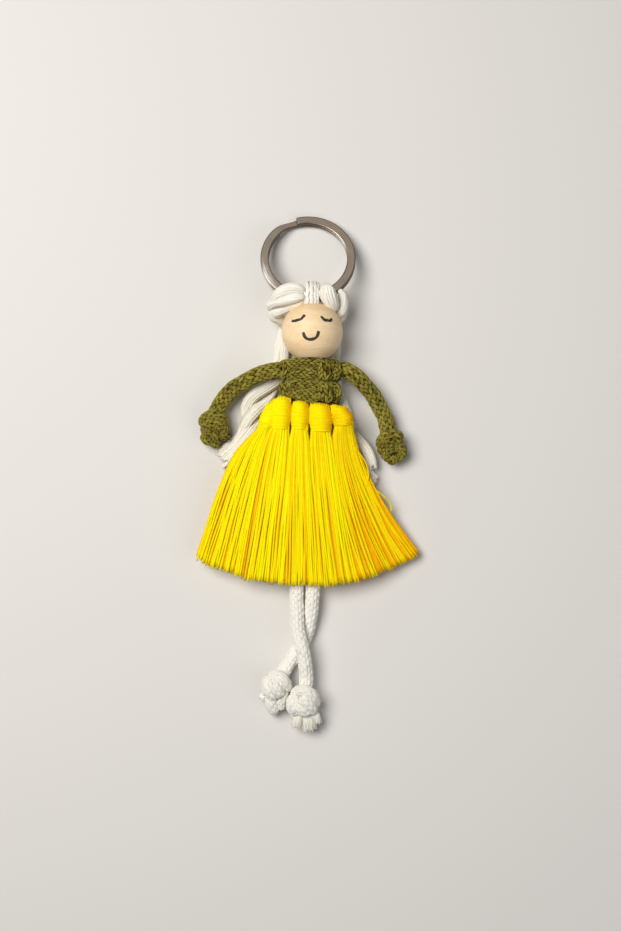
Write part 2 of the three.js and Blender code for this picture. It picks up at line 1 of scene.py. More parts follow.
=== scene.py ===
import bpy
import numpy as np
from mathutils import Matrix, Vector


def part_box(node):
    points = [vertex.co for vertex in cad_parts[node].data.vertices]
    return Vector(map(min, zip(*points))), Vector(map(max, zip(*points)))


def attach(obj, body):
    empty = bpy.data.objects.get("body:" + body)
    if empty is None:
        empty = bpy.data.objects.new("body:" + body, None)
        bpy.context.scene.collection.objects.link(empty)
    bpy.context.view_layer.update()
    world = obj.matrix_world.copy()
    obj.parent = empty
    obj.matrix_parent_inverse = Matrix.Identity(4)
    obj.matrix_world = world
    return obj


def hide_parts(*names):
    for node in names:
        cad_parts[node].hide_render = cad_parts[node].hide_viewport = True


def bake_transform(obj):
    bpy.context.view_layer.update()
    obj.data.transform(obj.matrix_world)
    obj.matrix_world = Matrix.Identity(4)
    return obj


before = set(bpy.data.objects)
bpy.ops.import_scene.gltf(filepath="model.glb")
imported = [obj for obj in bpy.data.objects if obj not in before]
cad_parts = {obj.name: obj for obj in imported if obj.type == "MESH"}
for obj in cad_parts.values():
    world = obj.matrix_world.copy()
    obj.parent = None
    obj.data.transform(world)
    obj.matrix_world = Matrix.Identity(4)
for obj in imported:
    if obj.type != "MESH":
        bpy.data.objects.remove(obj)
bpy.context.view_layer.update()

beadMiddle = np.array(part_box("head_bead")).mean(0)
benchZero = np.array([beadMiddle[0], beadMiddle[1], 0])  # under the bead's middle, on the desk
upward = np.array([0.0, 0, 1])
acrossX = np.array([1.0, 0, 0])
acrossY = np.array([0.0, 1, 0])
deskHeight = 0.03                                        # cords lie pressed flat on the desk here, mm


def toRow(points):
    # bench millimetres to metres in the frame's own place
    return benchZero + np.asarray(points, float) * 0.001


# shader nodes


def node(tree, kind, sockets=None, **values):
    # makes a node; outputs are linked to its sockets, numbers and colours are set on them
    made = tree.nodes.new(kind)
    for key, value in values.items():
        setattr(made, key, value)
    plug(tree, made, sockets or {})
    return made


def plug(tree, made, sockets):
    for key, value in sockets.items():
        if isinstance(value, bpy.types.NodeSocket):
            tree.links.new(value, made.inputs[key])
        else:
            made.inputs[key].default_value = value


def sums(tree, operation, *values):
    # one Math node
    return node(tree, "ShaderNodeMath", dict(enumerate(values)), operation=operation).outputs[0]


def shifted(tree, value, share, onto):
    # onto + share (value - 1/2)
    return sums(tree, "MULTIPLY_ADD", sums(tree, "SUBTRACT", value, 0.5), share, onto)


def noise(tree, where, scale, **more):
    return node(tree, "ShaderNodeTexNoise", {"Vector": where, "Scale": scale, **more}).outputs[0]


def mapped(tree, where, scale, turn=(0, 0, 0)):
    return node(tree, "ShaderNodeMapping", {"Vector": where, "Rotation": turn, "Scale": scale}).outputs[0]


def toneOf(tree):
    return node(tree, "ShaderNodeAttribute", attribute_name="tone", attribute_type="GEOMETRY").outputs["Fac"]


def colourSteps(tree, factor, steps):
    ramp = node(tree, "ShaderNodeValToRGB", {0: factor})
    ramp.color_ramp.elements[0].position = steps[0][0]
    ramp.color_ramp.elements[-1].position = steps[-1][0]
    for position, _ in steps[1:-1]:
        ramp.color_ramp.elements.new(position)
    for element, (_, colour) in zip(ramp.color_ramp.elements, steps):
        element.color = (*colour, 1)
    return ramp.outputs[0]


def bumps(tree, height, strength, depth):
    return node(tree, "ShaderNodeBump", {"Strength": strength, "Distance": depth, "Height": height}).outputs[0]


# camera, desk and light

view = {"lookAt": (-0.52, -43.83), "height": 500, "lens": 57.54}
light = {
    "key": {"place": (-262, 120, 600), "size": 0.42, "power": 4.6, "colour": (1, 0.97, 0.93)},
    "fill": {"place": (380, -260, 480), "size": 0.60, "power": 0.85, "colour": (0.97, 0.98, 1)},
    "aim": (0, -50, 0),
    "sky": 0.46,
    "desk": {"colour": (0.77, 0.755, 0.73, 1), "rough": 0.9, "far": 3.0, "low": -0.0002},
}


def placed(name, data, place=(0, 0, 0)):
    thing = bpy.data.objects.new(name, data)
    thing.location = place
    bpy.context.collection.objects.link(thing)
    return thing


def makeCamera():
    data = bpy.data.cameras.new("camera")
    data.lens, data.sensor_width = view["lens"], 36
    data.clip_start, data.clip_end = 0.01, 10
    bpy.context.scene.camera = placed("camera", data, toRow((*view["lookAt"], view["height"])))


def makeLamp(name):
    spec = light[name]
    data = bpy.data.lights.new(name, "AREA")
    data.shape, data.size, data.energy, data.color = "DISK", spec["size"], spec["power"], spec["colour"]
    aim = Vector(toRow(spec["place"]) - toRow(light["aim"]))
    placed(name, data, toRow(spec["place"])).rotation_euler = aim.to_track_quat("Z", "Y").to_euler()


def makeSky():
    # soft light from all round; straight to the camera, in metal and through glass it is plain white
    world = bpy.data.worlds.new("sky")
    bpy.context.scene.world = world
    world.use_nodes = True
    tree = world.node_tree
    soft = tree.nodes["Background"]
    soft.inputs["Strength"].default_value = light["sky"]
    white = node(tree, "ShaderNodeBackground", {"Strength": 1})
    rays = node(tree, "ShaderNodeLightPath").outputs
    either = sums(tree, "MAXIMUM", rays["Is Glossy Ray"], rays["Is Transmission Ray"])
    seen = sums(tree, "MAXIMUM", rays["Is Camera Ray"], either)
    mix = node(tree, "ShaderNodeMixShader", {0: seen, 1: soft.outputs[0], 2: white.outputs[0]})
    tree.links.new(mix.outputs[0], tree.nodes["World Output"].inputs["Surface"])


def makeDesk():
    spec = light["desk"]
    far, low = spec["far"], spec["low"]
    mesh = bpy.data.meshes.new("desk")
    mesh.from_pydata([(-far, -far, low), (far, -far, low), (far, far, low), (-far, far, low)], [], [(0, 1, 2, 3)])
    paint = bpy.data.materials.new("deskPaint")
    paint.use_nodes = True
    plug(paint.node_tree, paint.node_tree.nodes["Principled BSDF"],
         {"Base Color": spec["colour"], "Roughness": spec["rough"]})
    mesh.materials.append(paint)
    placed("desk", mesh)


bpy.context.scene.view_settings.view_transform = "Standard"
makeCamera()
makeLamp("key")
makeLamp("fill")
makeSky()
makeDesk()
print("camera, desk and light")


# finishes

cordFinishes = {
    "oliveCord": {"dark": (0.008, 0.005, 0), "mid": (0.074, 0.058, 0.001), "light": (0.355, 0.305, 0.048),
                  "rough": 0.9, "sheen": 0.05, "patch": 0.35, "fibre": 0.35, "twist": 1.6, "bump": 0.4},
    "creamCord": {"dark": (0.50, 0.43, 0.32), "mid": (0.89, 0.86, 0.77), "light": (0.94, 0.925, 0.87),
                  "rough": 0.85, "sheen": 0.05, "patch": 0.12, "fibre": 0.12, "twist": 2.2, "bump": 0.25},
    "hairString": {"dark": (0.60, 0.50, 0.36), "mid": (0.90, 0.87, 0.77), "light": (0.94, 0.925, 0.87),
                   "rough": 0.8, "sheen": 0.05, "patch": 0.14, "fibre": 0.2, "twist": 3, "bump": 0.2},
    "yellowYarn": {"dark": (0.86, 0.32, 0), "mid": (1, 0.60, 0), "light": (1, 0.89, 0),
                   "rough": 0.8, "sheen": 0, "patch": 0.16, "fibre": 0.2, "twist": 3.2, "bump": 0.2},
}
ply = {"count": 2, "tone": 0.04, "bump": 0.25}
wood = {"pale": (0.96, 0.745, 0.46), "dark": (0.83, 0.58, 0.32), "rough": 0.35, "turn": (0.2, 0.3, 0.45),
        "grain": 0.75, "flecks": 0.45, "grainStretch": (1, 3.2, 1), "fleckStretch": (0.5, 12, 6)}
# the brightest colour is a painted glint, and the edge colour is the painted dark of the wire's edges
steel = {"paintedGlint": (0.90, 0.87, 0.83), "light": (0.37, 0.30, 0.23), "dark": (0.24, 0.19, 0.145),
         "edge": (0.045, 0.036, 0.028), "rough": 0.16, "stretch": (60, 0.12, 1)}
ink = {"thin": (0.006, 0.003, 0.002), "full": (0.025, 0.012, 0.008), "rough": 0.6}


def blank(name):
    # a new material, with its tree, its shader and the places on the piece
    material = bpy.data.materials.new(name)
    material.use_nodes = True
    tree = material.node_tree
    return material, tree, tree.nodes["Principled BSDF"], node(tree, "ShaderNodeTexCoord").outputs


def cordFinish(name):
    # colour runs from the shaded gaps to the lit crowns by the tone at each point, plus patches and fibres;
    # the plies wind round each strand as the sine of 2 pi (plies u + v / twist)
    spec = cordFinishes[name]
    material, tree, shader, places = blank(name)
    patch = noise(tree, places["Object"], 420, Detail=3)
    fibre = noise(tree, mapped(tree, places["UV"], (9, 0.9, 1)), 1.3, Detail=4)
    around = node(tree, "ShaderNodeSeparateXYZ", {0: places["UV"]}).outputs
    wind = sums(tree, "MULTIPLY_ADD", around[0], ply["count"], sums(tree, "MULTIPLY", around[1], 1 / spec["twist"]))
    wave = sums(tree, "SINE", sums(tree, "MULTIPLY", wind, 2 * np.pi))
    level = shifted(tree, patch, spec["patch"], toneOf(tree))
    # painted shade: the ply wave also darkens the colour a little in the grooves between plies
    level = sums(tree, "MULTIPLY_ADD", wave, ply["tone"], shifted(tree, fibre, spec["fibre"], level))
    plug(tree, shader, {
        "Base Color": colourSteps(tree, level, [(0.05, spec["dark"]), (0.5, spec["mid"]), (0.95, spec["light"])]),
        "Roughness": spec["rough"], "Sheen Weight": spec["sheen"], "Sheen Roughness": 0.5,
        "Specular IOR Level": 0.12,
        "Normal": bumps(tree, sums(tree, "MULTIPLY_ADD", wave, ply["bump"], fibre), spec["bump"], 0.00012)})
    return material


def woodFinish():
    # long soft grain across the bead and short darker flecks in it
    material, tree, shader, places = blank("beadWood")
    grain = noise(tree, mapped(tree, places["Object"], wood["grainStretch"], wood["turn"]), 80, Detail=5,
                  Distortion=0.6)
    fleck = noise(tree, mapped(tree, places["Object"], wood["fleckStretch"], wood["turn"]), 260, Detail=3)
    level = sums(tree, "MULTIPLY_ADD", fleck, wood["flecks"], sums(tree, "MULTIPLY", grain, wood["grain"]))
    plug(tree, shader, {"Base Color": colourSteps(tree, level, [(0.38, wood["dark"]), (0.68, wood["pale"])]),
                        "Roughness": sums(tree, "MULTIPLY_ADD", fleck, 0.2, wood["rough"]),
                        "Specular IOR Level": 0.4, "Normal": bumps(tree, fleck, 0.15, 0.00008)})
    return material


def steelFinish():
    # drawn wire: fine lines along it and duller patches; by the tone the colour runs from painted dark edges to
    # painted bright glints
    material, tree, shader, places = blank("ringSteel")
    lines = noise(tree, mapped(tree, places["UV"], steel["stretch"]), 2, Detail=4)
    patch = noise(tree, places["Object"], 300)
    level = shifted(tree, lines, 0.5, toneOf(tree))
    steps = [(0.1, steel["edge"]), (0.45, steel["dark"]), (0.78, steel["light"]), (1, steel["paintedGlint"])]
    plug(tree, shader, {"Base Color": colourSteps(tree, level, steps), "Metallic": 1,
                        "Roughness": sums(tree, "MULTIPLY_ADD", patch, 0.2, steel["rough"]),
                        "Normal": bumps(tree, lines, 0.12, 0.00005)})
    return material


def inkFinish():
    # dull brown-black pen line with slightly thinner places
    material, tree, shader, places = blank("faceInk")
    patch = noise(tree, places["Object"], 900)
    plug(tree, shader, {"Base Color": colourSteps(tree, patch, [(0.35, ink["thin"]), (0.75, ink["full"])]),
                        "Roughness": ink["rough"]})
    return material


materialOf = {
    "olive_cord": cordFinish("oliveCord"),
    "cream_cord": cordFinish("creamCord"),
    "hair_string": cordFinish("hairString"),
    "yellow_yarn": cordFinish("yellowYarn"),
    "bead_wood": woodFinish(),
    "ring_steel": steelFinish(),
}
print("finishes")


# lines, tubes and surfaces


def unit(v):
    return v / np.maximum(np.linalg.norm(v, axis=-1, keepdims=True), 1e-9)


def ease(x):
    # 0 below 0, 1 above 1, and 3x^2 - 2x^3 between
    x = np.clip(x, 0, 1)
    return x * x * (3 - 2 * x)


def smoothLine(points, step=0.5, closed=False):
    # the cubic through each stretch's four nearest points, then equal steps of length
    p = np.array(points, float)
    if closed:
        p = np.vstack([p[-1:], p, p[:2]])
    else:
        p = np.vstack([2 * p[:1] - p[1:2], p, 2 * p[-1:] - p[-2:-1]])
    stretches = len(p) - 3
    t = np.linspace(0, stretches, stretches * 16 + 1)
    i = np.minimum(t.astype(int), stretches - 1)
    f = (t - i)[:, None]
    a, b, c, d = p[i], p[i + 1], p[i + 2], p[i + 3]
    line = b + 0.5 * f * (c - a + f * (2 * a - 5 * b + 4 * c - d + f * (3 * (b - c) + d - a)))
    gone = np.append(0, np.cumsum(np.linalg.norm(np.diff(line[:, :3], axis=0), axis=1)))
    along = np.linspace(0, gone[-1], max(5, round(gone[-1] / step) + 1))
    return np.stack([np.interp(along, gone, column) for column in line.T], 1), along


def frameOf(line, sideAxis=None):
    # ahead runs with the line; side is level, or as near the given axis as it can be; up is square to both
    ahead = unit(np.gradient(line[:, :3], axis=0))
    if sideAxis is None:
        side = unit(np.cross(upward, ahead))
    else:
        side = unit(sideAxis - ahead * (ahead @ sideAxis)[:, None])
    return side, np.cross(ahead, side)


def rounded(along, reach):
    # 1 in the middle, and a quarter circle down to the ends over the last reach
    near = np.minimum(along, along[-1] - along) / reach
    return np.sqrt(np.clip(1 - (1 - np.minimum(near, 1)) ** 2, 0.004, 1))


def between(table, index):
    # rows of a table at places that need not be whole numbers
    low = np.minimum(index.astype(int), len(table) - 2)
    f = (index - low)[..., None]
    return table[low] * (1 - f) + table[low + 1] * f


def circleOf(sides, flat=1):
    turn = np.arange(sides) * 2 * np.pi / sides
    return np.stack([np.cos(turn), flat * np.sin(turn)], 1)


def tubes(paths, radius, outward, tone, section):
    # each path carries a ring of points: path + radius (side cos t + up sin t), up being the outward way;
    # the section is a number of sides, one outline, or one outline for each step
    paths = np.asarray(paths, float)
    many, steps = paths.shape[:2]
    section = circleOf(section) if isinstance(section, int) else section
    sides = section.shape[-2]
    ahead = unit(np.gradient(paths, axis=1))
    side = unit(np.cross(np.broadcast_to(outward, paths.shape), ahead))
    up = np.cross(ahead, side)
    radius = np.broadcast_to(radius, (many, steps))[..., None, None]
    ring = side[:, :, None] * section[..., :1] + up[:, :, None] * section[..., 1:]
    points = paths[:, :, None] + radius * ring
    at = np.arange(many * steps * sides).reshape(many, steps, sides)
    after = np.roll(at, -1, 2)
    quads = np.stack([at[:, :-1], after[:, :-1], after[:, 1:], at[:, 1:]], -1).reshape(-1)
    caps = np.concatenate([at[:, 0, ::-1], at[:, -1]]).reshape(-1)
    gone = np.concatenate([np.zeros((many, 1)), np.cumsum(np.linalg.norm(np.diff(paths, axis=1), axis=2), 1)], 1)
    u = (np.arange(sides)[:, None] + [0, 1, 1, 0]) / sides
    v = np.stack([gone[:, :-1], gone[:, :-1], gone[:, 1:], gone[:, 1:]], -1)[:, :, None]
    capUv = np.zeros((len(caps), 2))
    capUv[len(caps) // 2:, 1] = np.repeat(gone[:, -1], sides)
    return {
        "points": points.reshape(-1, 3),
        "loops": np.concatenate([quads, caps]),
        "counts": np.concatenate([np.full(len(quads) // 4, 4), np.full(2 * many, sides)]),
        "uv": np.concatenate([np.stack(np.broadcast_arrays(u, v), -1).reshape(-1, 2), capUv]),
        "tone": np.repeat(np.broadcast_to(tone, (many, steps))[..., None], sides, 2).reshape(-1),
    }


def closedSurface(points, tone, capped=False, stretch=1):
    # a grid of points that meets itself round its rows; its columns meet too, or both their ends are capped.
    # The volume inside, taken from the origin, is below 0 when the faces look inwards, and then they are turned
    rows, columns = points.shape[:2]
    at = np.arange(rows * columns).reshape(rows, columns)
    here, right = (at[:, :-1], at[:, 1:]) if capped else (at, np.roll(at, -1, 1))
    quads = np.stack([here, right, np.roll(right, -1, 0), np.roll(here, -1, 0)], -1).reshape(-1, 4)
    caps = np.stack([at[:, 0], at[::-1, -1]]) if capped else at[:0]
    p = points.reshape(-1, 3)
    volume = sum(np.einsum("ij,ij->", p[quads[:, 0]], np.cross(p[quads[:, i]], p[quads[:, i + 1]])) for i in (1, 2))
    if volume < 0:
        quads, caps = quads[:, ::-1], caps[:, ::-1]
    loops = np.concatenate([quads.reshape(-1), caps.reshape(-1)])
    return {
        "points": p,
        "loops": loops,
        "counts": np.concatenate([np.full(len(quads), 4), np.full(len(caps), rows)]),
        "uv": np.stack([(loops // columns) / rows, (loops % columns) / columns * stretch], -1),
        "tone": np.full(len(p), tone),
    }


def makePiece(name, parts, slot, body, nodes=(), material=None):
    # lays several parts down as one mesh, with its own UV map and a tone at each point
    starts = np.cumsum([0] + [len(part["points"]) for part in parts])
    loops = np.concatenate([part["loops"] + start for part, start in zip(parts, starts)])
    whole = {key: np.concatenate([part[key] for part in parts]) for key in ("points", "counts", "uv", "tone")}
    points = whole["points"]
    points[:, 2] = np.maximum(points[:, 2], deskHeight)
    mesh = bpy.data.meshes.new(name)
    mesh.vertices.add(len(points))
    mesh.vertices.foreach_set("co", toRow(points).astype(np.float32).ravel())
    mesh.loops.add(len(loops))
    mesh.loops.foreach_set("vertex_index", loops.astype(np.int32))
    mesh.polygons.add(len(whole["counts"]))
    mesh.polygons.foreach_set("loop_start", np.append(0, np.cumsum(whole["counts"])[:-1]).astype(np.int32))
    mesh.polygons.foreach_set("use_smooth", np.ones(len(whole["counts"]), bool))
    mesh.update(calc_edges=True)
    mesh.uv_layers.new(name="UVMap").data.foreach_set("uv", whole["uv"].astype(np.float32).ravel())
    mesh.attributes.new("tone", "FLOAT", "POINT").data.foreach_set("value", whole["tone"].astype(np.float32))
    mesh.materials.append(material or materialOf[slot])
    piece = placed(name, mesh)
    if body:
        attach(piece, body)
    if nodes:
        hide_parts(*nodes)
    return piece


# cord and string makers

stitches = {
    "olive": {"lean": 0.42, "dip": 0.11, "plump": 0.37, "pair": True, "ends": 0.02, "crown": 0.86, "core": 0.81,
              "flat": 0.8, "reach": 0.66},
    "cream": {"lean": 0.22, "dip": 0.045, "plump": 0.58, "pair": False, "ends": 0.36, "crown": 0.84, "core": 0.90,
              "flat": 0.42, "reach": 0.70},
}
stitch = {"steps": 7, "sides": 7, "taper": 0.86, "endGap": 0.2, "pairApart": 0.55, "pairFat": 0.6, "coreSides": 18}
vary = {"turn": 0.10, "along": 0.05, "tone": 0.09, "sink": 0.02, "pairTone": 0.06}  # spreads of the random draws
combed = {"step": 0.6, "sides": 5, "tip": 0.35, "in": 0.85, "apart": 0.2, "spread": 0.025, "tone": 0.72,
          "toneVary": 0.10, "frayFrom": 0.75, "core": 1.1, "coreSides": 14, "coreShade": 0.45, "coreShort": 0.8}


def stitchedCord(route, kind, columns, pitch, seed, thick=1, sideAxis=None, closed=False, shown=None, reach=1.6):
    # a braided cord: leaf-shaped stitches in columns round a middle of the lowest tone, painted shade that shows in
    # the gaps between stitches. A stitch at column c and row r lies at angle (c + 1/2) 2 pi / columns and at r pitch
    # along the cord, half a pitch on in every other column; it leans by lean columns, the other way in every other
    # column, and its ends dip inwards.
    # A paired stitch is two strands side by side that meet at their ends
    spec = stitches[kind]
    line, along = smoothLine(route, 0.5, closed)
    side, up = frameOf(line, sideAxis)
    half = line[:, 3] / 2 * (1 if closed else rounded(along, reach))
    # painted shade: the middle has tone 0, the darkest colour, and shows only between the stitches
    core = tubes(line[None, :, :3], half * spec["core"], up, 0, circleOf(stitch["coreSides"], thick))
    rng = np.random.default_rng(seed)
    a, c = np.meshgrid(np.arange(0.5, along[-1] / pitch) * pitch, np.arange(columns))
    a = (a + (c % 2) * pitch / 2).ravel()
    c = c.ravel()
    angle = (c + 0.5) * 2 * np.pi / columns
    keep = a < along[-1] - stitch["endGap"] * pitch
    if shown is not None:
        keep &= np.cos(angle - np.pi / 2) > shown
    a, c, angle = a[keep], c[keep], angle[keep]
    s = np.linspace(-1, 1, stitch["steps"])
    way = np.where(c % 2, 1, -1)[:, None]
    many = (len(a), 1)
    lean = way * spec["lean"] * s * 2 * np.pi / columns
    turn = angle[:, None] + lean + rng.normal(0, vary["turn"], many) / columns
    spot = a[:, None] + s * pitch * spec["reach"] + rng.normal(0, vary["along"] * pitch, many)
    spot = np.clip(spot, 0, along[-1])
    # painted shade: a stitch is darkest at its ends, where they dip in, and lightest at its crown
    tone = spec["ends"] + (spec["crown"] - spec["ends"]) * np.sqrt(1 - s ** 2) + rng.normal(0, vary["tone"], many)
    sink = rng.normal(0, vary["sink"], many)
    here = between(np.concatenate([line[:, :3], side, up, half[:, None]], 1), spot / along[1])
    middle, side, up, half = here[..., :3], unit(here[..., 3:6]), unit(here[..., 6:9]), here[..., 9]
    slim = (1 - stitch["taper"] * s ** 2) ** 0.6
    fat = spec["plump"] * np.pi * half * (1 + thick) / columns
    out = half - fat * spec["flat"] * 0.7 - spec["dip"] * half * s ** 2 + sink * half
    if spec["pair"]:
        spread = stitch["pairApart"] * fat * slim / np.maximum(out, 0.2)
        turn = np.concatenate([turn - spread, turn + spread])
        fat = fat * stitch["pairFat"]
        middle, side, up, out, fat = (np.concatenate([v, v]) for v in (middle, side, up, out, fat))
        tone = np.concatenate([tone, tone + rng.normal(0, vary["pairTone"], many)])
    sideways, upwards = side * np.cos(turn)[..., None], up * np.sin(turn)[..., None]
    paths = middle + out[..., None] * (sideways + thick * upwards)
    return [core, tubes(paths, fat * slim, sideways + upwards, tone, circleOf(stitch["sides"], spec["flat"]))]


def cords(routes, kind, columns, pitch, seed, **more):
    # several cords braided alike, each with a seed of its own
    return [part for i, route in enumerate(routes)
            for part in stitchedCord(route, kind, columns, pitch, seed + i, **more)]


def bundle(line, along, strings, thick, string, seed, turns=0, sway=0.08, startGrip=0.7, endGrip=0.7,
           gripReach=2.5, fray=0, uneven=0, edge=0.16):
    # strings laid side by side round a flat oval: angle = 2 pi i / strings + turns, with a slow sway;
    # the oval narrows to a share of itself at each gripped end, and frays wider at a free one
    side, up = frameOf(line)
    rng = np.random.default_rng(seed)
    s = along / along[-1]
    grip = startGrip + (1 - startGrip) * ease(along / gripReach)
    grip = grip * (endGrip + (1 - endGrip) * ease((along[-1] - along) / gripReach))
    half = line[:, 3] / 2 * grip * (1 + fray * ease((s - combed["frayFrom"]) / (1 - combed["frayFrom"])))
    inner = np.maximum(half - string * combed["core"], 0.1) * rounded(along, 1)
    if uneven:  # the middle stays behind the cut ends
        inner = inner * (1 - combed["coreShort"] * ease((s - 0.8) / 0.15))
    # painted shade: the middle tube has a low tone and shows only between the strings
    core = tubes(line[None, :, :3], inner, up, combed["coreShade"], circleOf(combed["coreSides"], thick))
    many = (strings, 1)
    start = (np.arange(strings) + rng.uniform(-combed["apart"], combed["apart"], strings))[:, None]
    phase, waves = rng.uniform(0, 2 * np.pi, many), rng.uniform(0.5, 1.3, many)
    angle = start * 2 * np.pi / strings + turns * 2 * np.pi * s + sway * np.sin(2 * np.pi * waves * s + phase)
    out = np.maximum(half - string * combed["in"], 0.05) * (1 + rng.normal(0, combed["spread"], many))
    paths = (line[None, :, :3] + side * (out * np.cos(angle))[..., None]
             + up * (out * thick * np.sin(angle))[..., None])
    outward = side * np.cos(angle)[..., None] + up * np.sin(angle)[..., None] / max(thick, 0.2)
    # painted shade: strings at the two sides of the oval are darker, by edge |cos angle|^3, for the crease shadow
    # between strands
    tone = combed["tone"] + rng.normal(0, combed["toneVary"], many) - edge * np.abs(np.cos(angle)) ** 3
    if uneven:  # each string is cut at its own length
        index = np.arange(len(along)) * (1 - uneven * rng.uniform(0, 1, many))
        low = np.minimum(index.astype(int), len(along) - 2)
        f = (index - low)[..., None]
        rows = np.arange(strings)[:, None]
        paths = paths[rows, low] * (1 - f) + paths[rows, low + 1] * f
        outward, tone = outward[rows, low], tone[rows, low]
    tips = rounded(np.linspace(0, along[-1], len(along)), string)
    return [core, tubes(paths, string * np.maximum(tips, combed["tip"]), unit(outward), tone, combed["sides"])]


def combedLocks(routes, strings, thick, string, seed, **more):
    # locks of combed string, each along a route of x, y, z and width
    parts = []
    for i, route in enumerate(routes):
        line, along = smoothLine(route, combed["step"])
        parts += bundle(line, along, strings, thick / line[:, 3].max(), string, seed + i, **more)
    return parts


def gathered(turns, middle, pull, thin):
    # a knot drawn tighter: places move to the middle by the share pull, widths shrink by the share thin
    return [[(*(np.array(middle) + (np.array(p[:3]) - middle) * pull), p[3] * thin) for p in turn] for turn in turns]


# legs, and their foot knots

legs = {
    "width": 4.6, "columns": 10, "pitch": 2.2, "knee": 6, "bendReach": 3,
    "over": [(-3, -26.1, 7.6), (-3.1, -32, 7.6), (-3.4, -42, 6.6), (-3.9, -55, 5.3), (-4.5, -70, 4.9),
        (-5, -82, 4.9), (-5.2, -88.6, 4.9), (-5, -92.5, 5.2), (-4.7, -98.4, 6.5), (-3.7, -102.6, 7.4),
        (-2.8, -106.6, 7.2), (-2.2, -110.7, 6.6), (-2, -114.7, 6), (-2.2, -118.2, 5.7)],
    "under": [(2.8, -26.1, 7.45), (2.6, -32, 7.45), (2.2, -42, 6.6), (1.7, -55, 5.3), (0.9, -70, 4.9),
        (0.3, -82, 4.9), (0.1, -88.6, 4.9), (-0.3, -93, 3.8), (-1.4, -98.8, 2.6), (-3.2, -103.2, 2.35),
        (-5.4, -106.5, 2.35), (-7.7, -109.7, 2.8), (-9.5, -112.4, 3.9), (-10.6, -114.2, 4.7)],
}
feet = {
    "over": {
        "middle": (-2.85, -122.3, 5.6), "pull": 0.76, "thin": 0.92,
        "turns": [
            [(-7, -120.8, 3.4, 3.2), (-5.9, -118.3, 6.4, 4.2), (-3.6, -116.9, 9, 4.4), (-1, -117.4, 10, 4.5),
             (1.2, -119.4, 9, 4.4), (2.2, -122.2, 6, 4), (2.2, -124.8, 3.4, 3.2)],
            [(-6.1, -118.9, 6.6, 3.4), (-7.4, -121.2, 8, 4.4), (-7.6, -123.9, 8, 4.6), (-6.5, -126.5, 6.4, 4.2),
             (-4.9, -127.5, 5, 3.4)],
            [(-4.6, -119.3, 9.4, 4), (-3, -120.8, 10, 4.8), (-1, -122.6, 9.6, 4.9), (0.6, -124.8, 8, 4.4),
             (1.1, -127.1, 5.6, 3.6)],
            [(-5.8, -121.8, 9, 4), (-4.3, -124.1, 9.2, 4.8), (-2.2, -125.8, 8.2, 4.8), (-0.2, -127.1, 6.4, 3.8)],
            [(-6.4, -122, 3.2, 4), (-3, -123, 3, 5.4), (0.6, -124, 3.2, 4.2)]],
        "ends": [],
        "tufts": [
            [(-4.2, -125.6, 6.2, 2.8), (-4.9, -128.3, 6, 3.3), (-5.4, -131.2, 4.6, 3.6)],
            [(-1.9, -125.6, 6.4, 3), (-1, -128.8, 6, 4.2), (-0.8, -132.4, 4.2, 5)],
            [(0.3, -125.2, 6, 2.6), (1.4, -127.4, 5.6, 2.8), (1.9, -129.8, 4.4, 2.8)]],
    },
    "under": {
        "middle": (-11.75, -117, 5.4), "pull": 0.82, "thin": 0.95,
        "turns": [
            [(-14.2, -115.5, 3, 3.4), (-13, -113.3, 6, 4.2), (-10.9, -112.8, 8.2, 4.4), (-9.1, -114.3, 8.4, 4.4),
             (-7.8, -116.8, 6.4, 4), (-7.8, -119.2, 3.6, 3.2)],
            [(-14.1, -113.2, 4.6, 3.2), (-15.2, -115, 6.4, 4.2), (-15, -117.4, 7.4, 4.5),
             (-13.8, -120.2, 6.8, 4.4), (-12.3, -122.3, 5, 3.6)],
            [(-13.1, -113.8, 7.8, 3.6), (-12.6, -116, 9, 4.6), (-11.4, -118.5, 8.4, 4.7), (-10, -121.1, 6.4, 3.8)],
            [(-13, -116, 3, 4.4), (-11, -118.5, 2.8, 5)]],
        "ends": [
            [(-9, -118.2, 5.8, 2.8), (-9.6, -120.6, 5.6, 3.2), (-10.2, -123, 4.8, 3.2), (-10.2, -125.4, 3.6, 2.8)],
            [(-13.4, -119.8, 5.4, 3.4), (-13.6, -122.4, 5, 4.2), (-12.9, -124.9, 3.8, 4.2),
             (-11.8, -126.3, 2.8, 3.4)],
            [(-15, -120.8, 4.4, 2.4), (-16.4, -120.9, 4.2, 2.9), (-17.5, -121.6, 3.8, 2.6)]],
        "tufts": [],
    },
}


def makeLeg(side, shin, nodes, seed):
    route = [(*place, legs["width"]) for place in legs[side]]
    parts = stitchedCord(route, "cream", legs["columns"], legs["pitch"], seed=seed, reach=2)
    leg = makePiece(side + "_leg_cord", parts, "cream_cord", None, nodes[:2])
    spec = feet[side]
    turns = gathered(spec["turns"], spec["middle"], spec["pull"], spec["thin"])
    foot = cords(turns + spec["ends"], "cream", columns=10, pitch=2, seed=41, reach=1.8)
    foot += combedLocks(spec["tufts"], strings=22, thick=2.5, string=0.25, seed=60, startGrip=0.5, endGrip=1,
                        gripReach=1.6, uneven=0.2, fray=0.12, edge=0.3)
    knot = makePiece(side + "_foot_knot_cord", foot, "cream_cord", shin, nodes[2:])
    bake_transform(leg)


makeLeg("over", "shin_over", ("over_leg_upper", "over_leg_lower", "over_foot_knot"), seed=31)
makeLeg("under", "shin_under", ("under_leg_upper", "under_leg_lower", "under_foot_knot"), seed=37)


# hair braids: combed hair behind the bead, then three strands over and under each other

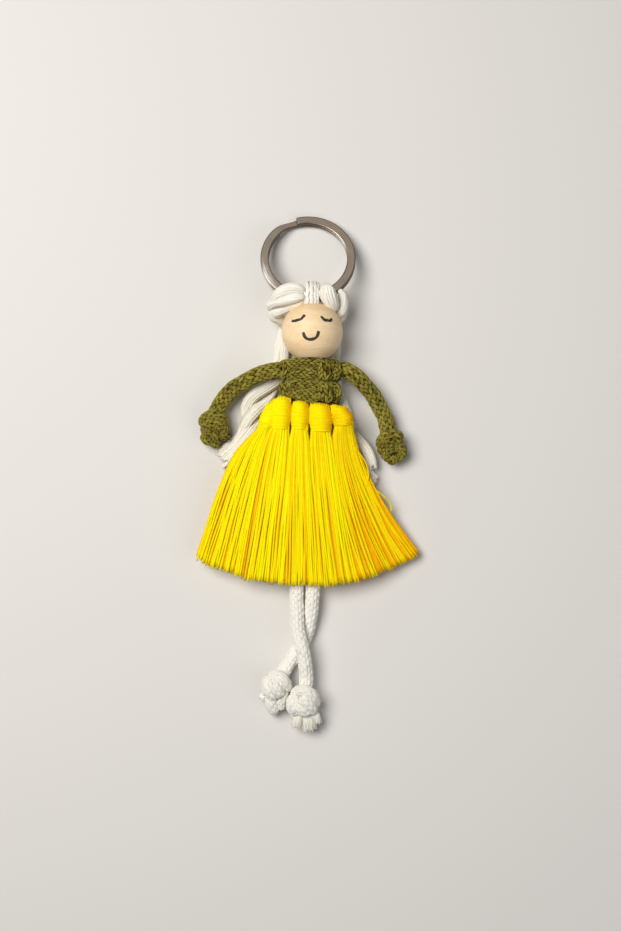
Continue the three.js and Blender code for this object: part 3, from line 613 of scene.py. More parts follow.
braids = {
    "left": {
        "thick": 2.5, "strings": 20, "combed": 5,
        "route": [(-8.4, 4.2, 2, 4.7), (-9.1, 0.8, 2.1, 5), (-9.7, -2.2, 2.1, 5.2), (-10.1, -5.2, 2.1, 5.4),
            (-10.4, -7.9, 2.2, 5.4), (-11, -11, 2.2, 5.6), (-12, -14, 2.2, 5.8), (-14, -17.2, 2.3, 6),
            (-16.2, -19.8, 2.4, 6.2), (-18.6, -22.1, 2.5, 6.2), (-20.6, -25, 2.5, 6.2), (-21.3, -28.3, 2.4, 6.2),
            (-21.9, -31.3, 2.3, 6), (-23.2, -34.6, 2.2, 5.8), (-25.4, -37.4, 2.1, 5.6), (-28.2, -39.8, 2.1, 5.2),
            (-30.4, -41.3, 2, 5)],
        "combedEnd": [(-11, -11, 2.2, 5.2), (-12, -14, 2.2, 5), (-13.4, -16.6, 2.2, 3.6)],
        "strands": [
            [(-9.6, -9.6, 2.5, 3.6), (-10.4, -12.6, 2.7, 3.9), (-12.1, -15.5, 3.1, 4.1), (-15.2, -17.7, 3.9, 4.3),
             (-18.6, -19.8, 4.3, 4.4), (-21.1, -22.6, 3.4, 4.2), (-22.3, -25.9, 2.2, 3.6), (-21.8, -28.9, 1.8, 3),
             (-22.6, -31.6, 1.5, 3.2), (-24.3, -34.2, 1.5, 3.4), (-27.1, -36.8, 1.6, 3.3), (-30.3, -39, 1.7, 3.1),
             (-32, -40.1, 1.7, 2.8)],
            [(-11.4, -12.5, 1.9, 2.6), (-12, -16, 1.9, 3), (-13.9, -20.2, 2, 3.4), (-16.4, -23.2, 2.5, 3.9),
             (-19, -25.8, 4, 4.3), (-21.4, -28.8, 3.9, 4.1), (-23, -32, 3, 3.8), (-24.6, -35.2, 2.5, 3.6),
             (-27.1, -38.1, 2.2, 3.7), (-31.2, -41.6, 2, 3.9)],
            [(-12.8, -16.6, 1.4, 2.6), (-15.4, -20.8, 1.5, 2.8), (-17.4, -25.6, 1.6, 3.2),
             (-18.9, -29.6, 2.1, 3.8), (-21, -32.8, 3.4, 4), (-23.2, -35.7, 2.9, 3.9), (-25.8, -38.8, 2.4, 3.7),
             (-29.4, -42.8, 2.1, 3.4)]],
        "wisps": [
            [(-25.4, -39, 2.2, 1), (-27.8, -42.4, 2, 1.3), (-30.2, -44.6, 1.6, 1.2)],
            [(-24.6, -38.4, 3.4, 1), (-26.2, -41.8, 4.4, 1.2), (-27.6, -45.2, 4.6, 1.2)]],
    },
    "right": {
        "thick": 2.4, "strings": 18, "combed": 4,
        "route": [(7.6, 1.6, 2.2, 4.6), (7.3, -2, 2.1, 4.8), (7.1, -8.5, 2.1, 4.8), (7.2, -13.6, 2.1, 4.8),
            (7.7, -17.9, 2.1, 4.8), (9.5, -21.2, 2.1, 4.8), (10.9, -24.4, 2.1, 4.8), (11.7, -28, 2.1, 4.8),
            (12.6, -31.8, 2.1, 4.8), (14.4, -35.4, 2.1, 4.8), (16.8, -38.9, 2.1, 4.6), (18.6, -42.2, 2.1, 4.4),
            (19.8, -45.4, 2.1, 4.2)],
        "combedEnd": [(7.5, -17, 2.1, 4.6), (8.6, -19.6, 2.1, 3.8)],
        "strands": [
            [(7.6, -15.6, 2.8, 3), (8.6, -19.4, 3, 3.2), (10.4, -22.6, 3.2, 3.4), (11.6, -26, 3.2, 3.4),
             (12.6, -29.4, 3, 3.4), (13.3, -32.6, 2.6, 3.2), (13.9, -35.8, 2, 3), (15.2, -38.9, 1.7, 3),
             (16.7, -42.2, 1.7, 2.8)],
            [(7, -16.6, 1.9, 3), (7.6, -21, 1.8, 3.2), (9.2, -25.2, 1.8, 3.4), (10.8, -29, 2.2, 3.6),
             (12.9, -32.6, 3.4, 3.8), (15.7, -35.6, 4.2, 3.9), (18.1, -38.6, 4.4, 4), (19.5, -41.9, 4.2, 4),
             (20.2, -45.3, 3.6, 3.8)],
            [(9.3, -21, 1.7, 2.8), (10.4, -26, 1.6, 3), (11.4, -31, 1.6, 3.2), (13.2, -36.2, 1.9, 3.4),
             (16, -40.2, 2.3, 3.6), (18.3, -43.4, 2.3, 3.4), (19, -45.6, 2.1, 3)]],
        "wisps": [
            [(17.6, -43.6, 2.6, 1.6), (19.8, -46.6, 3, 2), (21.9, -48.4, 2.8, 1.9)],
            [(17, -44.4, 2.4, 1.4), (19.4, -47.8, 2.6, 1.8), (21.4, -50, 2.4, 1.8)]],
    },
}

for way, spec in braids.items():
    start = spec["route"][:spec["combed"]] + spec["combedEnd"]
    parts = combedLocks([start], strings=30, thick=3.6, string=0.36, seed=66, turns=0.05)
    parts += combedLocks(spec["strands"], spec["strings"], spec["thick"], string=0.34, seed=70, turns=0.1,
                         endGrip=1, uneven=0.05, edge=0.62)
    parts += combedLocks(spec["wisps"], strings=7, thick=1, string=0.3, seed=76, endGrip=1, uneven=0.12)
    braid = makePiece(way + "_braid_strands", parts, "hair_string", None, [way + "_braid"])
    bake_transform(braid)


# split ring

ring = {"middle": (-1.35, 24.5, 6.92), "lean": 21.6, "radius": 14.35, "start": 105, "turns": 690,
        "apart": 0.625, "stepAt": 332, "stepOver": 26, "wide": 2.8, "tall": 1.15, "edge": 0.28, "inset": 0.16,
        "slimAt": 350, "slimOver": 14, "slim": 0.30, "edgeShade": 0.20, "bright": 0.62}


def roundedBar():
    # a rectangle whose corners are quarter circles; the flats carry a point near each corner
    wide, tall, edge = ring["wide"] / 2, ring["tall"] / 2, ring["edge"]
    t = np.linspace(0, np.pi / 2, 5)
    points, tone = [], []
    for k, (x, y) in enumerate(((1, 1), (-1, 1), (-1, -1), (1, -1))):
        turn = t + k * np.pi / 2
        points += list(zip(x * (wide - edge) + edge * np.cos(turn), y * (tall - edge) + edge * np.sin(turn)))
        # painted shade: the rounded corners get a low tone, so the wire's edges render dark
        tone += [ring["edgeShade"]] * 5
        if k % 2 == 0:
            flat = x * (wide - edge - ring["inset"])
            points += [(flat, y * tall), (-flat, y * tall)]
            tone += [ring["bright"]] * 2
    return np.array(points), np.array(tone)


def ringPaintedLight(tone, turn):
    # painted reflection: glints painted bright on the outer corner round 208 degrees, spilling onto the face, and on
    # the inner one round 28 degrees:
    # tone + 0.8 exp(-((turn - middle) / spread)^2)
    def glint(middle, spread):
        return np.exp(-(((turn - middle + 180) % 360 - 180) / spread) ** 2)[:, None]

    table = np.tile(tone, (len(turn), 1))
    table[:, :5] += 0.80 * glint(208, 24)
    table[:, 5:7] += np.array([0.36, 0.12]) * glint(205, 30)
    table[:, 7:12] += 0.80 * glint(28, 26)
    return table


def ringWire():
    # a leaning circle: middle + radius (x cos t + ahead sin t), which drops by one wire on its second turn;
    # the wire narrows where it steps, and both ends are eased
    degrees = np.linspace(0, ring["turns"], 480)
    turn = np.radians(ring["start"]) - np.radians(degrees)
    high = ring["apart"] * (1 - 2 * ease((degrees - ring["stepAt"]) / ring["stepOver"]))
    lean = np.radians(ring["lean"])
    ahead, normal = np.array([0, np.cos(lean), -np.sin(lean)]), np.array([0, np.sin(lean), np.cos(lean)])
    slim = ring["slim"] * np.exp(-((degrees - ring["slimAt"]) / ring["slimOver"]) ** 2)
    radius = ring["radius"] - 0.5 * slim
    line = (np.array(ring["middle"]) + radius[:, None] * (np.cos(turn)[:, None] * acrossX
            + np.sin(turn)[:, None] * ahead) + high[:, None] * normal)
    ends = np.ones(len(turn))
    ends[[0, -1]] = 0.80
    outline, tone = roundedBar()
    section = outline[None] * np.stack([1 - slim, np.ones(len(slim))], 1)[:, None]
    wire = tubes(line[None], ends, normal, 0.5, section)
    wire["tone"] = ringPaintedLight(tone, np.degrees(turn)).ravel()
    return [wire]


makePiece("split_ring_wire", ringWire(), "ring_steel", "ring", ["key_ring"])
print("split ring")


# wooden bead head and its face

bead = {"radius": 10, "hole": 4, "wallEnd": 7.9, "rim": 4.9, "rimPull": (4.05, 8.817), "height": 12.5}
face = {
    "line": 0.5, "leftEye": [(-6.66, 2.9), (-5.84, 2.8), (-4.87, 2.97), (-3.58, 3.3), (-2.93, 4), (-2.29, 4.71)],
    "rightEye": [(2.86, 4.29), (3.37, 3.63), (4.15, 3), (4.99, 2.96), (5.77, 2.83), (6.12, 3.2), (6.1, 3.8)],
    "mouth": [(-2.83, -0.95), (-2.64, -1.84), (-2.22, -2.61), (-1.55, -3.12), (-0.74, -3.29), (0.35, -3.16),
        (1.28, -2.69), (1.82, -1.8), (2.11, -0.59)],
}


def beadSurface():
    # a profile turned about the Y axis: hole wall, eased rim, then the ball from rim to rim
    rimTurn = np.arcsin(bead["rim"] / bead["radius"])
    ball = np.linspace(rimTurn, np.pi - rimTurn, 64)
    outer = np.stack([bead["radius"] * np.sin(ball), bead["radius"] * np.cos(ball)], 1)
    wall = np.stack([np.full(16, bead["hole"]), np.linspace(-bead["wallEnd"], bead["wallEnd"], 16)], 1)
    t = np.linspace(0.1, 0.9, 6)[:, None]
    top = (1 - t) ** 2 * wall[-1] + 2 * t * (1 - t) * np.array(bead["rimPull"]) + t ** 2 * outer[0]
    low = top[::-1] * np.array([1, -1])
    profile = np.concatenate([wall, top, outer, low])
    turn = np.linspace(0, 2 * np.pi, 128, endpoint=False)
    radius, y = profile[:, :1], profile[:, 1:]
    points = np.stack([radius * np.cos(turn), y + 0 * turn, bead["height"] + radius * np.sin(turn)], -1)
    return [closedSurface(points, 0.5)]


def faceStrokes():
    # pen strokes lie on the ball: z = middle + sqrt(R^2 - x^2 - y^2), and vary in width by a tenth
    parts = []
    for name in ("leftEye", "rightEye", "mouth"):
        flat = np.array(face[name])
        depth = np.sqrt(bead["radius"] ** 2 - (flat ** 2).sum(1))
        line, along = smoothLine(np.column_stack([flat, depth]), 0.12)
        line = unit(line) * bead["radius"]
        outward = unit(line)
        rng = np.random.default_rng(len(flat))
        width = face["line"] * rounded(along, 0.3) * (1 + 0.10 * np.sin(along * 2.1 + rng.uniform(0, 6)))
        line[:, 2] += bead["height"]
        parts.append(tubes(line[None], width, outward, 0.5, circleOf(12, 0.22)))
    return parts


makePiece("bead_head", beadSurface(), "bead_wood", "torso", ["head_bead"])
makePiece("face_strokes", faceStrokes(), "bead_wood", "torso", material=inkFinish())
print("bead and face")


# core cord with the hanging fold

core = {
    "width": 5.2, "thick": 2.8, "hinge": (11.497, 12.2), "bend": 3.724, "bendTurn": 125, "middle": -0.2,
    "up": [(-3.1, -23.2, 7.7), (-3.1, -18, 7.7), (-2.9, -14, 7.9), (-1.7, -11, 8.9), (-0.5, -8.8, 10.2),
           (-0.2, -5, 10.8), (-0.2, 0, 10.8), (-0.2, 6.6, 10.8), (-0.2, 8.4, 10.4)],
    "down": [(-0.2, 8.4, 14.6), (-0.2, 6.6, 14.2), (-0.2, 0, 14.2), (0.1, -5, 14.2), (0.7, -8.6, 13.6),
             (1.5, -11.2, 11.7), (2.2, -14, 9.2), (2.5, -18, 7.8), (2.5, -23.2, 7.7)],
}


def coreRoute():
    # up through the bodice and the bead, round the ring in an arc, and down again
    y, z = core["hinge"]
    bend = [(core["middle"], y + core["bend"] * np.cos(t), z + core["bend"] * np.sin(t))
            for t in np.radians(np.arange(-core["bendTurn"], core["bendTurn"] + 1, 25))]
    return [(*place, core["width"]) for place in core["up"] + bend + core["down"]]


coreCord = stitchedCord(coreRoute(), "cream", columns=10, pitch=2, seed=5, thick=core["thick"] / core["width"],
                        sideAxis=acrossX)
makePiece("core_cord_fold", coreCord, "cream_cord", "torso", ["core_cord"])
print("core cord")


# hair round the head

rolls = {
    "left_front": [
        [(-2.6, 12.9, 16.1, 3.4), (-4.6, 13.5, 16.7, 3.9), (-6.9, 13.5, 16.7, 4.2), (-8.9, 13, 16.2, 4.2),
         (-10.6, 12.1, 15.1, 4), (-11.7, 11, 13.5, 3.6), (-12.3, 9.7, 11.9, 3), (-12.5, 8.4, 10.4, 2.4)],
        [(-2.6, 11, 16.4, 2.8), (-4.4, 10.9, 16.8, 3.2), (-6.2, 10.5, 16.6, 3.4), (-8.2, 10.1, 15.8, 3.5),
         (-10.2, 9.7, 14.2, 3.5), (-12.1, 9.5, 12.2, 3.4), (-13.5, 8.8, 10.4, 3.1), (-13.6, 7.4, 8.6, 2.4)]],
    "left_side": [
        [(-2.8, 9.6, 15.2, 2.2), (-4.6, 9.1, 14.9, 2.5), (-6.6, 8.6, 13.8, 2.9), (-8.8, 7.9, 12.2, 3.4),
         (-10.8, 7.1, 10.4, 3.9), (-12.2, 6.6, 8.8, 4.2), (-12.3, 5.7, 7.4, 4.2), (-11, 5, 6.4, 3.9),
         (-10, 3.9, 5.2, 3.6), (-9.5, 2.2, 3.9, 3)]],
    "right_front": [
        [(4.3, 14.9, 15.6, 3.8), (4.7, 13.4, 16.6, 5), (5.3, 11.4, 16.5, 5.4), (6.2, 9.6, 15.4, 5),
         (7.1, 8.3, 13.8, 4.2), (7.9, 7.3, 12, 3.2)]],
    "right_side": [
        [(8.8, 13.4, 14.2, 2.4), (9.9, 12.2, 13.4, 3), (10.3, 10.4, 12.4, 3.3), (10.2, 8.4, 11.2, 3.5),
         (9.5, 6.6, 10, 3.4), (8.6, 5.4, 9, 2.8)],
        [(10.3, 8.6, 9.2, 2.8), (10.2, 6.6, 8.2, 3), (9.7, 5, 7, 2.8), (8.9, 3.9, 5.8, 2.4)]],
}
backHair = [(-1.8, 7.3, 1.9, 7.5), (-1.8, 4.6, 2, 11.4), (-1.8, 0.5, 2, 12.2), (-1.8, -3.8, 2, 11.2),
    (-1.8, -6.3, 1.9, 7)]

for n, (name, routes) in enumerate(rolls.items()):
    thick = 3.1 if name == "right_side" else 3.6
    parts = combedLocks(routes, strings=25, thick=thick, string=0.36, seed=100 + 10 * n, turns=0.16, edge=0.3)
    makePiece("hair_" + name + "_lock", parts, "hair_string", "torso", ["hair_" + name])
parts = combedLocks([backHair], strings=64, thick=3.9, string=0.28, seed=140, sway=0.05)
makePiece("back_hair_strands", parts, "hair_string", "torso", ["back_hair"])
print("hair")


# bodice: two knots of two rows each

bodice = {
    "middle": (-0.65, 7.7), "wide": 21, "deep": 16, "band": 3.8, "wall": 4.6, "columns": 14, "pitch": 1.6,
    "rows": [(-10.75, -1), (-14.3, -2.5), (-17.6, -4), (-20.5, -5.4)],
    "upper": [
        [(-7.2, -10.2, 13.4, 2.6), (-4.9, -10, 14.5, 3.3), (-1.7, -9.9, 15.3, 3.4), (1.2, -10.2, 15.3, 3.3),
         (3.4, -10.6, 14.6, 2.8)],
        [(-6.8, -13.8, 13.6, 2.9), (-3.9, -13.5, 14.8, 3.6), (-0.7, -13.9, 15.1, 3.6), (2.2, -14.3, 14.5, 2.9)],
        [(2.9, -9.3, 14, 3.3), (3.7, -11.1, 14.8, 4.2), (4, -13.7, 14.6, 4.4), (3.2, -16.1, 14, 3.6)],
        [(5.6, -9.4, 13.2, 2.9), (7.6, -10.8, 12.2, 3.5), (7.9, -13.2, 12, 3.5), (6.2, -15.8, 12.9, 2.9)],
        [(-8.4, -9.7, 12, 3), (-8, -11.7, 12.6, 3.6), (-8.1, -13.9, 12.5, 3.6), (-9, -15.8, 11.8, 2.8)]],
    "lower": [
        [(-5.3, -19.6, 13.4, 2.4), (-6.5, -18.3, 13.6, 2.8), (-4.9, -17.2, 14.5, 3.2), (-1.3, -17.5, 14.9, 3.4),
         (2.2, -18.1, 14.5, 2.9)],
        [(-5.9, -21.1, 13, 2.7), (-3.3, -21.2, 13.8, 3.3), (-0.4, -21.8, 14, 3.3), (2.3, -22.2, 13.4, 2.6)],
        [(2.7, -17.3, 14, 3.6), (4.1, -19.4, 14.4, 4.9), (4.4, -21.4, 14, 5.2), (3.9, -22.9, 13, 4.4)],
        [(6.2, -17.2, 12.9, 2.9), (7.9, -18.8, 11.9, 3.5), (7.9, -21, 11.7, 3.5), (6.4, -22.6, 12.3, 2.9)],
        [(-8.7, -15.9, 12, 2.9), (-9.2, -18.1, 12.1, 3.8), (-8.5, -20.4, 12.1, 3.8), (-7.4, -22, 11.6, 2.8)],
        [(-7.8, -22.6, 8.4, 3), (-4, -23.2, 8.8, 3.6), (0.2, -23.8, 8.8, 3.6), (4.4, -24, 8.8, 3.6),
         (8.2, -23.6, 8.4, 3)]],
}


def bandRow(y, slant, seed):
    # a closed loop round the body: x = a sin t, z = b cos t, sloping by its slant across the front
    x0, z0 = bodice["middle"]
    a, b = (bodice["wide"] - bodice["wall"]) / 2, (bodice["deep"] - bodice["wall"]) / 2
    t = np.linspace(0, 2 * np.pi, 48, endpoint=False) + np.pi
    x, z = a * np.sin(t), b * np.cos(t)
    route = np.stack([x0 + x, y + x * np.tan(np.radians(slant)), z0 + z, np.full(len(t), bodice["band"])], 1)
    return stitchedCord(route, "olive", bodice["columns"], bodice["pitch"], seed, bodice["wall"] / bodice["band"],
                        sideAxis=acrossY, closed=True, shown=-0.45)


for k, name in enumerate(("upper", "lower")):
    parts = []
    for row in (0, 1):
        parts += bandRow(*bodice["rows"][2 * k + row], 10 * k + row + 3)
    parts += cords(bodice[name], "olive", columns=11, pitch=1.9, seed=20 + 10 * k, thick=0.72, reach=1.4)
    makePiece(name + "_bodice_cord", parts, "olive_cord", "torso", [name + "_bodice_knot"])
print("bodice")


# arms and hands

arms = {
    "width": 5.5, "columns": 14, "pitch": 2.2,
    "left": [(-9, -11.9, 8.6), (-12.9, -12.5, 8.6), (-15.2, -13, 8.5), (-17.4, -13.7, 8.3), (-19.7, -14.7, 8),
        (-22.7, -16.3, 7.2), (-25.6, -18, 6.4), (-28.1, -20.2, 5.7), (-30.1, -22.9, 5.2), (-31.6, -25.4, 5),
        (-32.3, -27.4, 5)],
    "right": [(8.7, -11.2, 8.6), (11.6, -12.6, 8.6), (13.7, -13.7, 8.5), (15.7, -15.3, 8.2), (17.2, -17.2, 7.6),
        (19.2, -19.3, 7), (20.7, -21.3, 6.4), (21.9, -23.6, 5.8), (23.2, -25.9, 5.4), (24.3, -28.2, 5.2),
        (24.9, -30.8, 5.2), (25.3, -33, 5.2), (25.5, -34.8, 5.2)],
}
hands = {
    "left": {
        "middle": (-32.6, -32, 5), "pull": 0.86, "thin": 0.94,
        "turns": [
            [(-37.1, -30, 2.6, 3.4), (-36.3, -28.4, 5.5, 4.4), (-34.7, -27.1, 8, 4.6), (-32.5, -26.2, 8.4, 4.6),
             (-30.5, -26.1, 7, 4.4), (-29.4, -26.5, 4, 3.6)],
            [(-36.4, -33, 2.8, 3.4), (-35.5, -31.2, 6, 4.2), (-33.8, -29.7, 8.4, 4.5), (-31.6, -28.5, 9, 4.5),
             (-29.6, -27.8, 8, 4.3), (-28.5, -28, 5, 3.4)],
            [(-33.1, -31.3, 7.8, 3.2), (-31.4, -30.3, 8.4, 3.9), (-29.8, -30.5, 7.8, 4), (-28.7, -31.7, 6.2, 3.9),
             (-29.1, -33.4, 5, 3.4), (-30.6, -34.2, 4.6, 3)],
            [(-36.2, -34.3, 3, 2.8), (-35.3, -32.6, 5.8, 3.4), (-33.6, -32.1, 7.2, 3.6), (-32.3, -33.2, 7, 3.5),
             (-32.3, -35, 5.4, 3.2), (-33, -36.5, 4, 2.8)],
            [(-36.6, -33.1, 3, 2.8), (-36.2, -35.2, 4, 3.4), (-34.6, -36.3, 4.6, 3.6), (-33.1, -35.8, 4.8, 3)],
            [(-33, -35.3, 4.6, 3.4), (-32.3, -37, 4, 4.2), (-31.5, -38.8, 3, 3.8)],
            [(-35.4, -30, 3, 4.4), (-32, -31, 3, 5.6), (-29.8, -30.4, 3.2, 4)],
            [(-35.4, -35, 2.6, 3.2), (-33.9, -34.2, 2.8, 4.2), (-31.4, -34.8, 2.6, 3.4)]],
        "frayed": [[(-32.2, -32, 5.6, 2.6), (-30.6, -33, 5.8, 3.2), (-29.1, -34.2, 5, 3.8), (-27.8, -35.7, 4, 4)]],
    },
    "right": {
        "middle": (25.9, -38.7, 5.1), "pull": 0.86, "thin": 0.95,
        "turns": [
            [(22.4, -37.3, 2.6, 3.4), (22.7, -35.4, 5.5, 4.4), (24.1, -33.8, 7.8, 4.6), (26.2, -33, 8.4, 4.6),
             (28.5, -33.2, 7, 4.4), (29.9, -34.3, 4.4, 3.6)],
            [(22.5, -39.7, 2.8, 3.4), (23.2, -37.9, 6, 4.2), (24.5, -36.3, 8.6, 4.5), (26.4, -35.1, 9.2, 4.5),
             (28.4, -34.9, 8.2, 4.2), (30, -35.9, 5.4, 3.2)],
            [(23.5, -41.5, 2.8, 3.2), (24.5, -39.7, 5.8, 3.8), (25.7, -38.2, 8, 3.8), (27.4, -37.2, 8.4, 3.4)],
            [(26.3, -37.5, 7.2, 3), (27.7, -36.6, 7.8, 3.6), (29.6, -37.5, 7, 3.9), (30.6, -39.3, 5.4, 3.9),
             (29.8, -41.2, 4.6, 3.6), (28.2, -41.9, 4.4, 3)],
            [(27.4, -39.5, 5.6, 2.2), (27.9, -38.5, 7, 2.6), (28.8, -39.2, 6.2, 2.4)],
            [(26.1, -39.4, 6.2, 3), (25.1, -41.2, 5.4, 3.8), (24.4, -42.9, 4, 3.4)],
            [(26.7, -39.7, 6, 3), (26.9, -42, 5, 3.8), (26.3, -44.2, 3.4, 3.4)],
            [(28.1, -40.7, 5, 2.8), (28.6, -42.3, 4.4, 3.4), (28.4, -43.5, 3.6, 3)],
            [(23.8, -36.6, 3, 4.4), (26.4, -37.6, 3, 5.6), (28.8, -38, 3.2, 4)],
            [(25.4, -41.8, 2.6, 3.2), (27.9, -40.3, 2.8, 4.2), (29.8, -39.4, 2.6, 3.2)]],
        "frayed": [],
    },
}

for n, way in enumerate(("left", "right")):
    route = [(*place, arms["width"]) for place in arms[way]]
    parts = stitchedCord(route, "olive", arms["columns"], arms["pitch"], seed=50 + n, reach=1.5)
    makePiece(way + "_arm_cord", parts, "olive_cord", "arm_" + way, [way + "_arm"])
    spec = hands[way]
    turns = gathered(spec["turns"], spec["middle"], spec["pull"], spec["thin"])
    parts = cords(turns, "olive", columns=12, pitch=1.6, seed=52 + 10 * n, reach=1.5)
    parts += combedLocks(gathered(spec["frayed"], spec["middle"], spec["pull"], 1), strings=30, thick=2.6, string=0.2,
                         seed=90, endGrip=1, fray=0.1, uneven=0.3, sway=0.3)
    makePiece(way + "_hand_knot", parts, "olive_cord", "arm_" + way, [way + "_hand"])
print("arms and hands")


# skirt: waist cord, tassel heads and yarn

waist = {
    "origin": (-0.5, -25.9), "slope": 5.4, "pitch": 2.6, "apart": 0.42, "radius": 0.46,
    "corners": [(-13.6, 2.25), (-4, 2.2), (7.7, 2.4), (9.4, 4.6), (12, 8), (12.5, 11), (12, 13), (0, 13.2),
        (-13.2, 13), (-13.9, 11), (-13.8, 8), (-13.8, 4.6)],
}
front = {
    "height": 13.2, "deep": 6, "top": [-0.8, 2.5, 1.9, 1.8, 1.6], "neck": [-7, -7.1, -6.6, -6.6, -3.9],
    "heads": [(-12.6, -13.9, 3.1), (-9.5, -9.4, 3.4), (-3.5, -3, 3.05), (2.9, 4.1, 3.8), (9.3, 11.6, 3.35)],
    "behind": [0.9, 0, 0, 0, 0], "lean": [-0.05, 0, 0.03, 0.1, 0.4], "turns": [19, 24, 21, 21, 14],
    "loops": [8, 9, 8, 9, 8], "loopTop": [2.6, 3.9, 3.1, 2.9, 2.8],
    "drop": [(2.8, 0.3), (1.3, 0.2), (0.6, 0.5), (0.45, 0.5), (0.1, 0.8)],
    "fan": [(-16.6, -12), (-12.8, -6), (-6, 0.1), (0.1, 7.8), (7.8, 14.7)],
    "hemEdges": [-33.1, -19.1, -5, 8.4, 20.6, 40.5],
    "flare": [(0.55, 0.75), (0.75, 0.9), (0.9, 1.05), (1.05, 1.15), (1.6, 1.45)],
    # the tassels' painted light: lighter on the left tassels, darker on the right one, as the light falls from the
    # left
    "layers": [(22, 25, 22)] * 4 + [(29, 31, 27)], "tasselPaintedLight": [0.1, 0.1, 0.06, 0, -0.1],
    "gather": [0.16, 0.14, 0.16, 0.2, 0.34], "hold": [0.62, 0, 0, 0, 0],
}
alike = {"top": 1.2, "neck": -7.4, "behind": 0, "lean": 0, "turns": 21, "loops": 7, "loopTop": 2.2,
         "drop": (0.5, 0.5), "layers": (24, 22), "tasselPaintedLight": 0, "gather": 0.16, "hold": 0}
back = {
    **{key: [value] * 4 for key, value in alike.items()}, "height": 2.5, "deep": 5,
    "heads": [(-10.6, -10.6, 2.45), (-5.8, -5.8, 2.45), (-1, -1, 2.45), (3.8, 3.8, 2.45)],
    "fan": [(-13, -8.2), (-8.2, -3.4), (-3.4, 1.4), (1.4, 6.2)],
    "hemEdges": [-31.5, -16, -1, 14, 35], "flare": [(0.8, 0.9), (0.9, 1), (1, 1.15), (1.15, 1.6)],
}
thread = {"radius": 0.2464, "in": 0.18, "coreIn": 0.36, "perTurn": 32, "uneven": 0.018, "drawnIn": 0.1,
          "tone": 0.88, "shade": 0.4}
loop = {"in": 0.35, "deepIn": 0.72, "foot": -1.2, "crestIn": 0.45, "fill": 1.12, "tone": 0.8, "shade": 0.34}
yarn = {"radius": 0.335, "steps": 30, "headReach": 0.09, "neckWide": 0.99, "neckIn": 0.17, "holdReach": 0.12,
        "perClump": 4.2, "wave": 0.017, "pile": 0.14, "cut": 0.009, "short": 0.012, "tip": 0.72, "tone": 0.84,
        "layerShade": 0.22, "toneVary": 0.18, "leftShade": 0.07, "rightShade": 0.2, "sheetShade": 0.3,
        "sheetHem": 0.985, "strayRadius": 0.25}
hem = {"middle": -57.3, "lift": 13.5, "centre": -3, "reach": 43.5, "ridge": 9.2, "side": 3.6}
strays = [
    [(12, -34.6, 11.6), (13.2, -36.6, 11.8), (14.9, -39, 11.2), (16.9, -41.6, 10.4), (18.2, -44.4, 9.6),
     (18.6, -47.4, 8.9), (18.1, -50.6, 8.2)],
    [(18.3, -48.6, 6.6), (20.8, -51.6, 7), (23.4, -53.7, 6.6), (25.3, -55.4, 5.9), (26.3, -57.4, 5.2),
     (26.2, -59.4, 4.6)]]


def fromWaist(x, y, z):
    # the waist line slopes down to the right
    turn = np.radians(waist["slope"])
    x, y, z = np.broadcast_arrays(x, y, z)
    return np.stack([waist["origin"][0] + x * np.cos(turn) + y * np.sin(turn),
                     waist["origin"][1] - x * np.sin(turn) + y * np.cos(turn), z], -1)


def waistCord():
    # two yarns wound round each other along a loop that leaves its corners rounded
    corners = np.array(waist["corners"])
    line, along = smoothLine(fromWaist(corners[:, 0], 0, corners[:, 1]), 0.35, closed=True)
    up = fromWaist(0, 1, 0) - fromWaist(0, 0, 0)
    side = np.cross(unit(np.gradient(line, axis=0)), up)
    wind = 2 * np.pi * np.round(along[-1] / waist["pitch"]) * along / along[-1]
    parts = []
    for t in (wind, wind + np.pi):
        out = side * np.cos(t)[:, None] + up * np.sin(t)[:, None]
        parts.append(tubes((line + waist["apart"] * out)[None], waist["radius"], out, 0.6, 7))
    return parts


